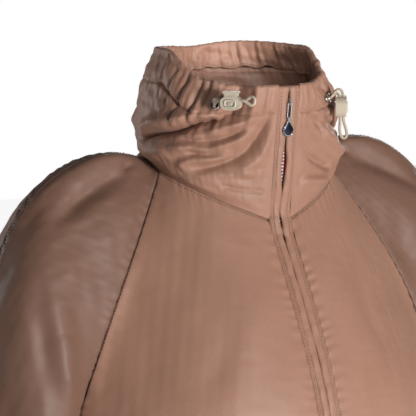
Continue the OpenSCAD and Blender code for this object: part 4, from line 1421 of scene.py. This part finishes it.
def make_puller():
    outline = drop_outline()
    half = DROP_T / 2
    rim = [(0.90, half), (0.97, half * 0.8), (1.0, 0.2), (1.0, -0.3), (0.985, -half * 0.8), (0.965, -half),
           (0.95, -half), (0.925, -half * 0.8), (0.915, -half * 0.45)]
    drop = domed("slider_pull_drop", outline, rim, MATERIAL["chrome"])
    dome = [(0.92, -half * 0.45)] + [(0.915 * math.cos(w), -half * 0.55 - 0.75 * math.sin(w))
                                       for w in np.linspace(0, 1.5, 9)]
    inset = domed("slider_pull_inset", outline, dome, MATERIAL["dark_chrome"])
    for made in (drop, inset):
        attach(made, "pull")


LOCK_FACE = -5.4            # the outer face of a cord lock's body
LOCK_MID = -2.5
LEFT_LOCK_TURN = math.radians(73.7)


def lock_place(side, points):
    """From a cord lock's frame to the jacket's frame."""
    p = np.asarray(points, float)
    if side == "right":
        return from_eyelet(-1, p + vec(20, -13, 6))
    return from_eyelet(1, turned(p, "y", LEFT_LOCK_TURN) + vec(3, -13.5, -8))


def make_lock_faces():
    """The moulded rim and latch on the outer face of each lock."""
    turn = np.linspace(0, 2 * np.pi, 73)
    c, s = np.cos(turn), np.sin(turn)
    ring = np.column_stack([5.2 * np.sign(c) * np.abs(c) ** 0.5, LOCK_FACE + 0 * c,
                            LOCK_MID + 3.4 * np.sign(s) * np.abs(s) ** 0.5])
    for side in ("right", "left"):
        rim, _ = tube(f"cord_lock_rim_{side}", lock_place(side, ring), 1.7, MATERIAL["ivory"], 14)
        corners = lock_place(side, box_verts(4.6, 1.2, 2.4, (0, LOCK_FACE - 0.2, LOCK_MID)))
        latch = new_object(f"cord_lock_latch_{side}", corners, BOX_FACES, MATERIAL["ivory"])
        rounded(latch, 0.45, 4)
        for made in (rim, latch):
            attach(made, f"lock_{side}")


def make_hardware():
    make_lock_faces()
    make_eyelets()
    make_puller()
    for node, width in (("zip_slider", 0.35), ("slider_link", 0.12), ("slider_pull", 0.2)):
        rounded(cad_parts[node], width)
        finish_node(node, MATERIAL["chrome"])
    for node in ("zip_insertion_pin", "zip_retainer_box"):
        rounded(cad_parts[node], 0.3)
        finish_node(node, MATERIAL["tooth"])
    for side in ("right", "left"):
        rounded(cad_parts[f"cord_lock_body_{side}"], 0.8, 5)
        rounded(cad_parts[f"cord_lock_plunger_{side}"], 0.5, 4)
        finish_node(f"cord_lock_body_{side}", MATERIAL["ivory"])
        finish_node(f"cord_lock_plunger_{side}", MATERIAL["ivory"])
        finish_node(f"cord_lock_spring_{side}", MATERIAL["steel"])


# ------------------------------------------------------------------ hanger loop
LOOP_W, LOOP_DROP, LOOP_T, LOOP_TAPE, LOOP_OFF = 60.0, 22.0, 1.2, 5.0, 7.0


def make_hanger():
    q = np.array([180 - math.degrees(math.asin(LOOP_W / 2 / NECK_A))])
    end = collar(q, 0.16, 1.4 + 6.4 + 1.2 - 0.4)[0]
    t = np.linspace(0, 1, 60)
    arch = np.sin(math.pi * t)
    middle = np.column_stack([mix(LOOP_W / 2, -LOOP_W / 2, t), end[1] - LOOP_OFF * arch - LOOP_T,
                              end[2] - LOOP_DROP * arch])
    grid = np.array([middle + vec(0, -0.25 * math.cos(3 * s), s * LOOP_TAPE / 2)
                     for s in np.linspace(1, -1, 9)])
    made = cloth_object("hanger_loop_tape", grid, MATERIAL["loop"], LOOP_T)
    stands_in(made, "hanger_loop")


# ------------------------------------------------------------------ floor and finish
FLOOR_SHOWN, FLOOR_GLOW = 0.85, 0.12     # how bright the floor looks, and how much it lights the object


def make_floor():
    bpy.ops.mesh.primitive_plane_add(size=8, location=(0, 0, -0.66))
    floor = bpy.context.object
    floor.name = "floor"
    material, tree, node = shader("studio_floor", (0.9, 0.9, 0.9), 0.8, Emission_Color=(1, 1, 1, 1))
    path = tree.nodes.new("ShaderNodeLightPath")
    shown = math_node(tree, "MULTIPLY", path.outputs["Is Camera Ray"], FLOOR_SHOWN - FLOOR_GLOW)
    link(tree, math_node(tree, "ADD", shown, FLOOR_GLOW), node.inputs["Emission Strength"])
    floor.data.materials.append(material)


make_camera()
make_lights()
make_cords()
make_panels()
make_cuffs()
make_hem()
make_collar()
make_facings()
make_stops()
make_hardware()
make_hanger()
make_floor()


bpy.context.view_layer.update()
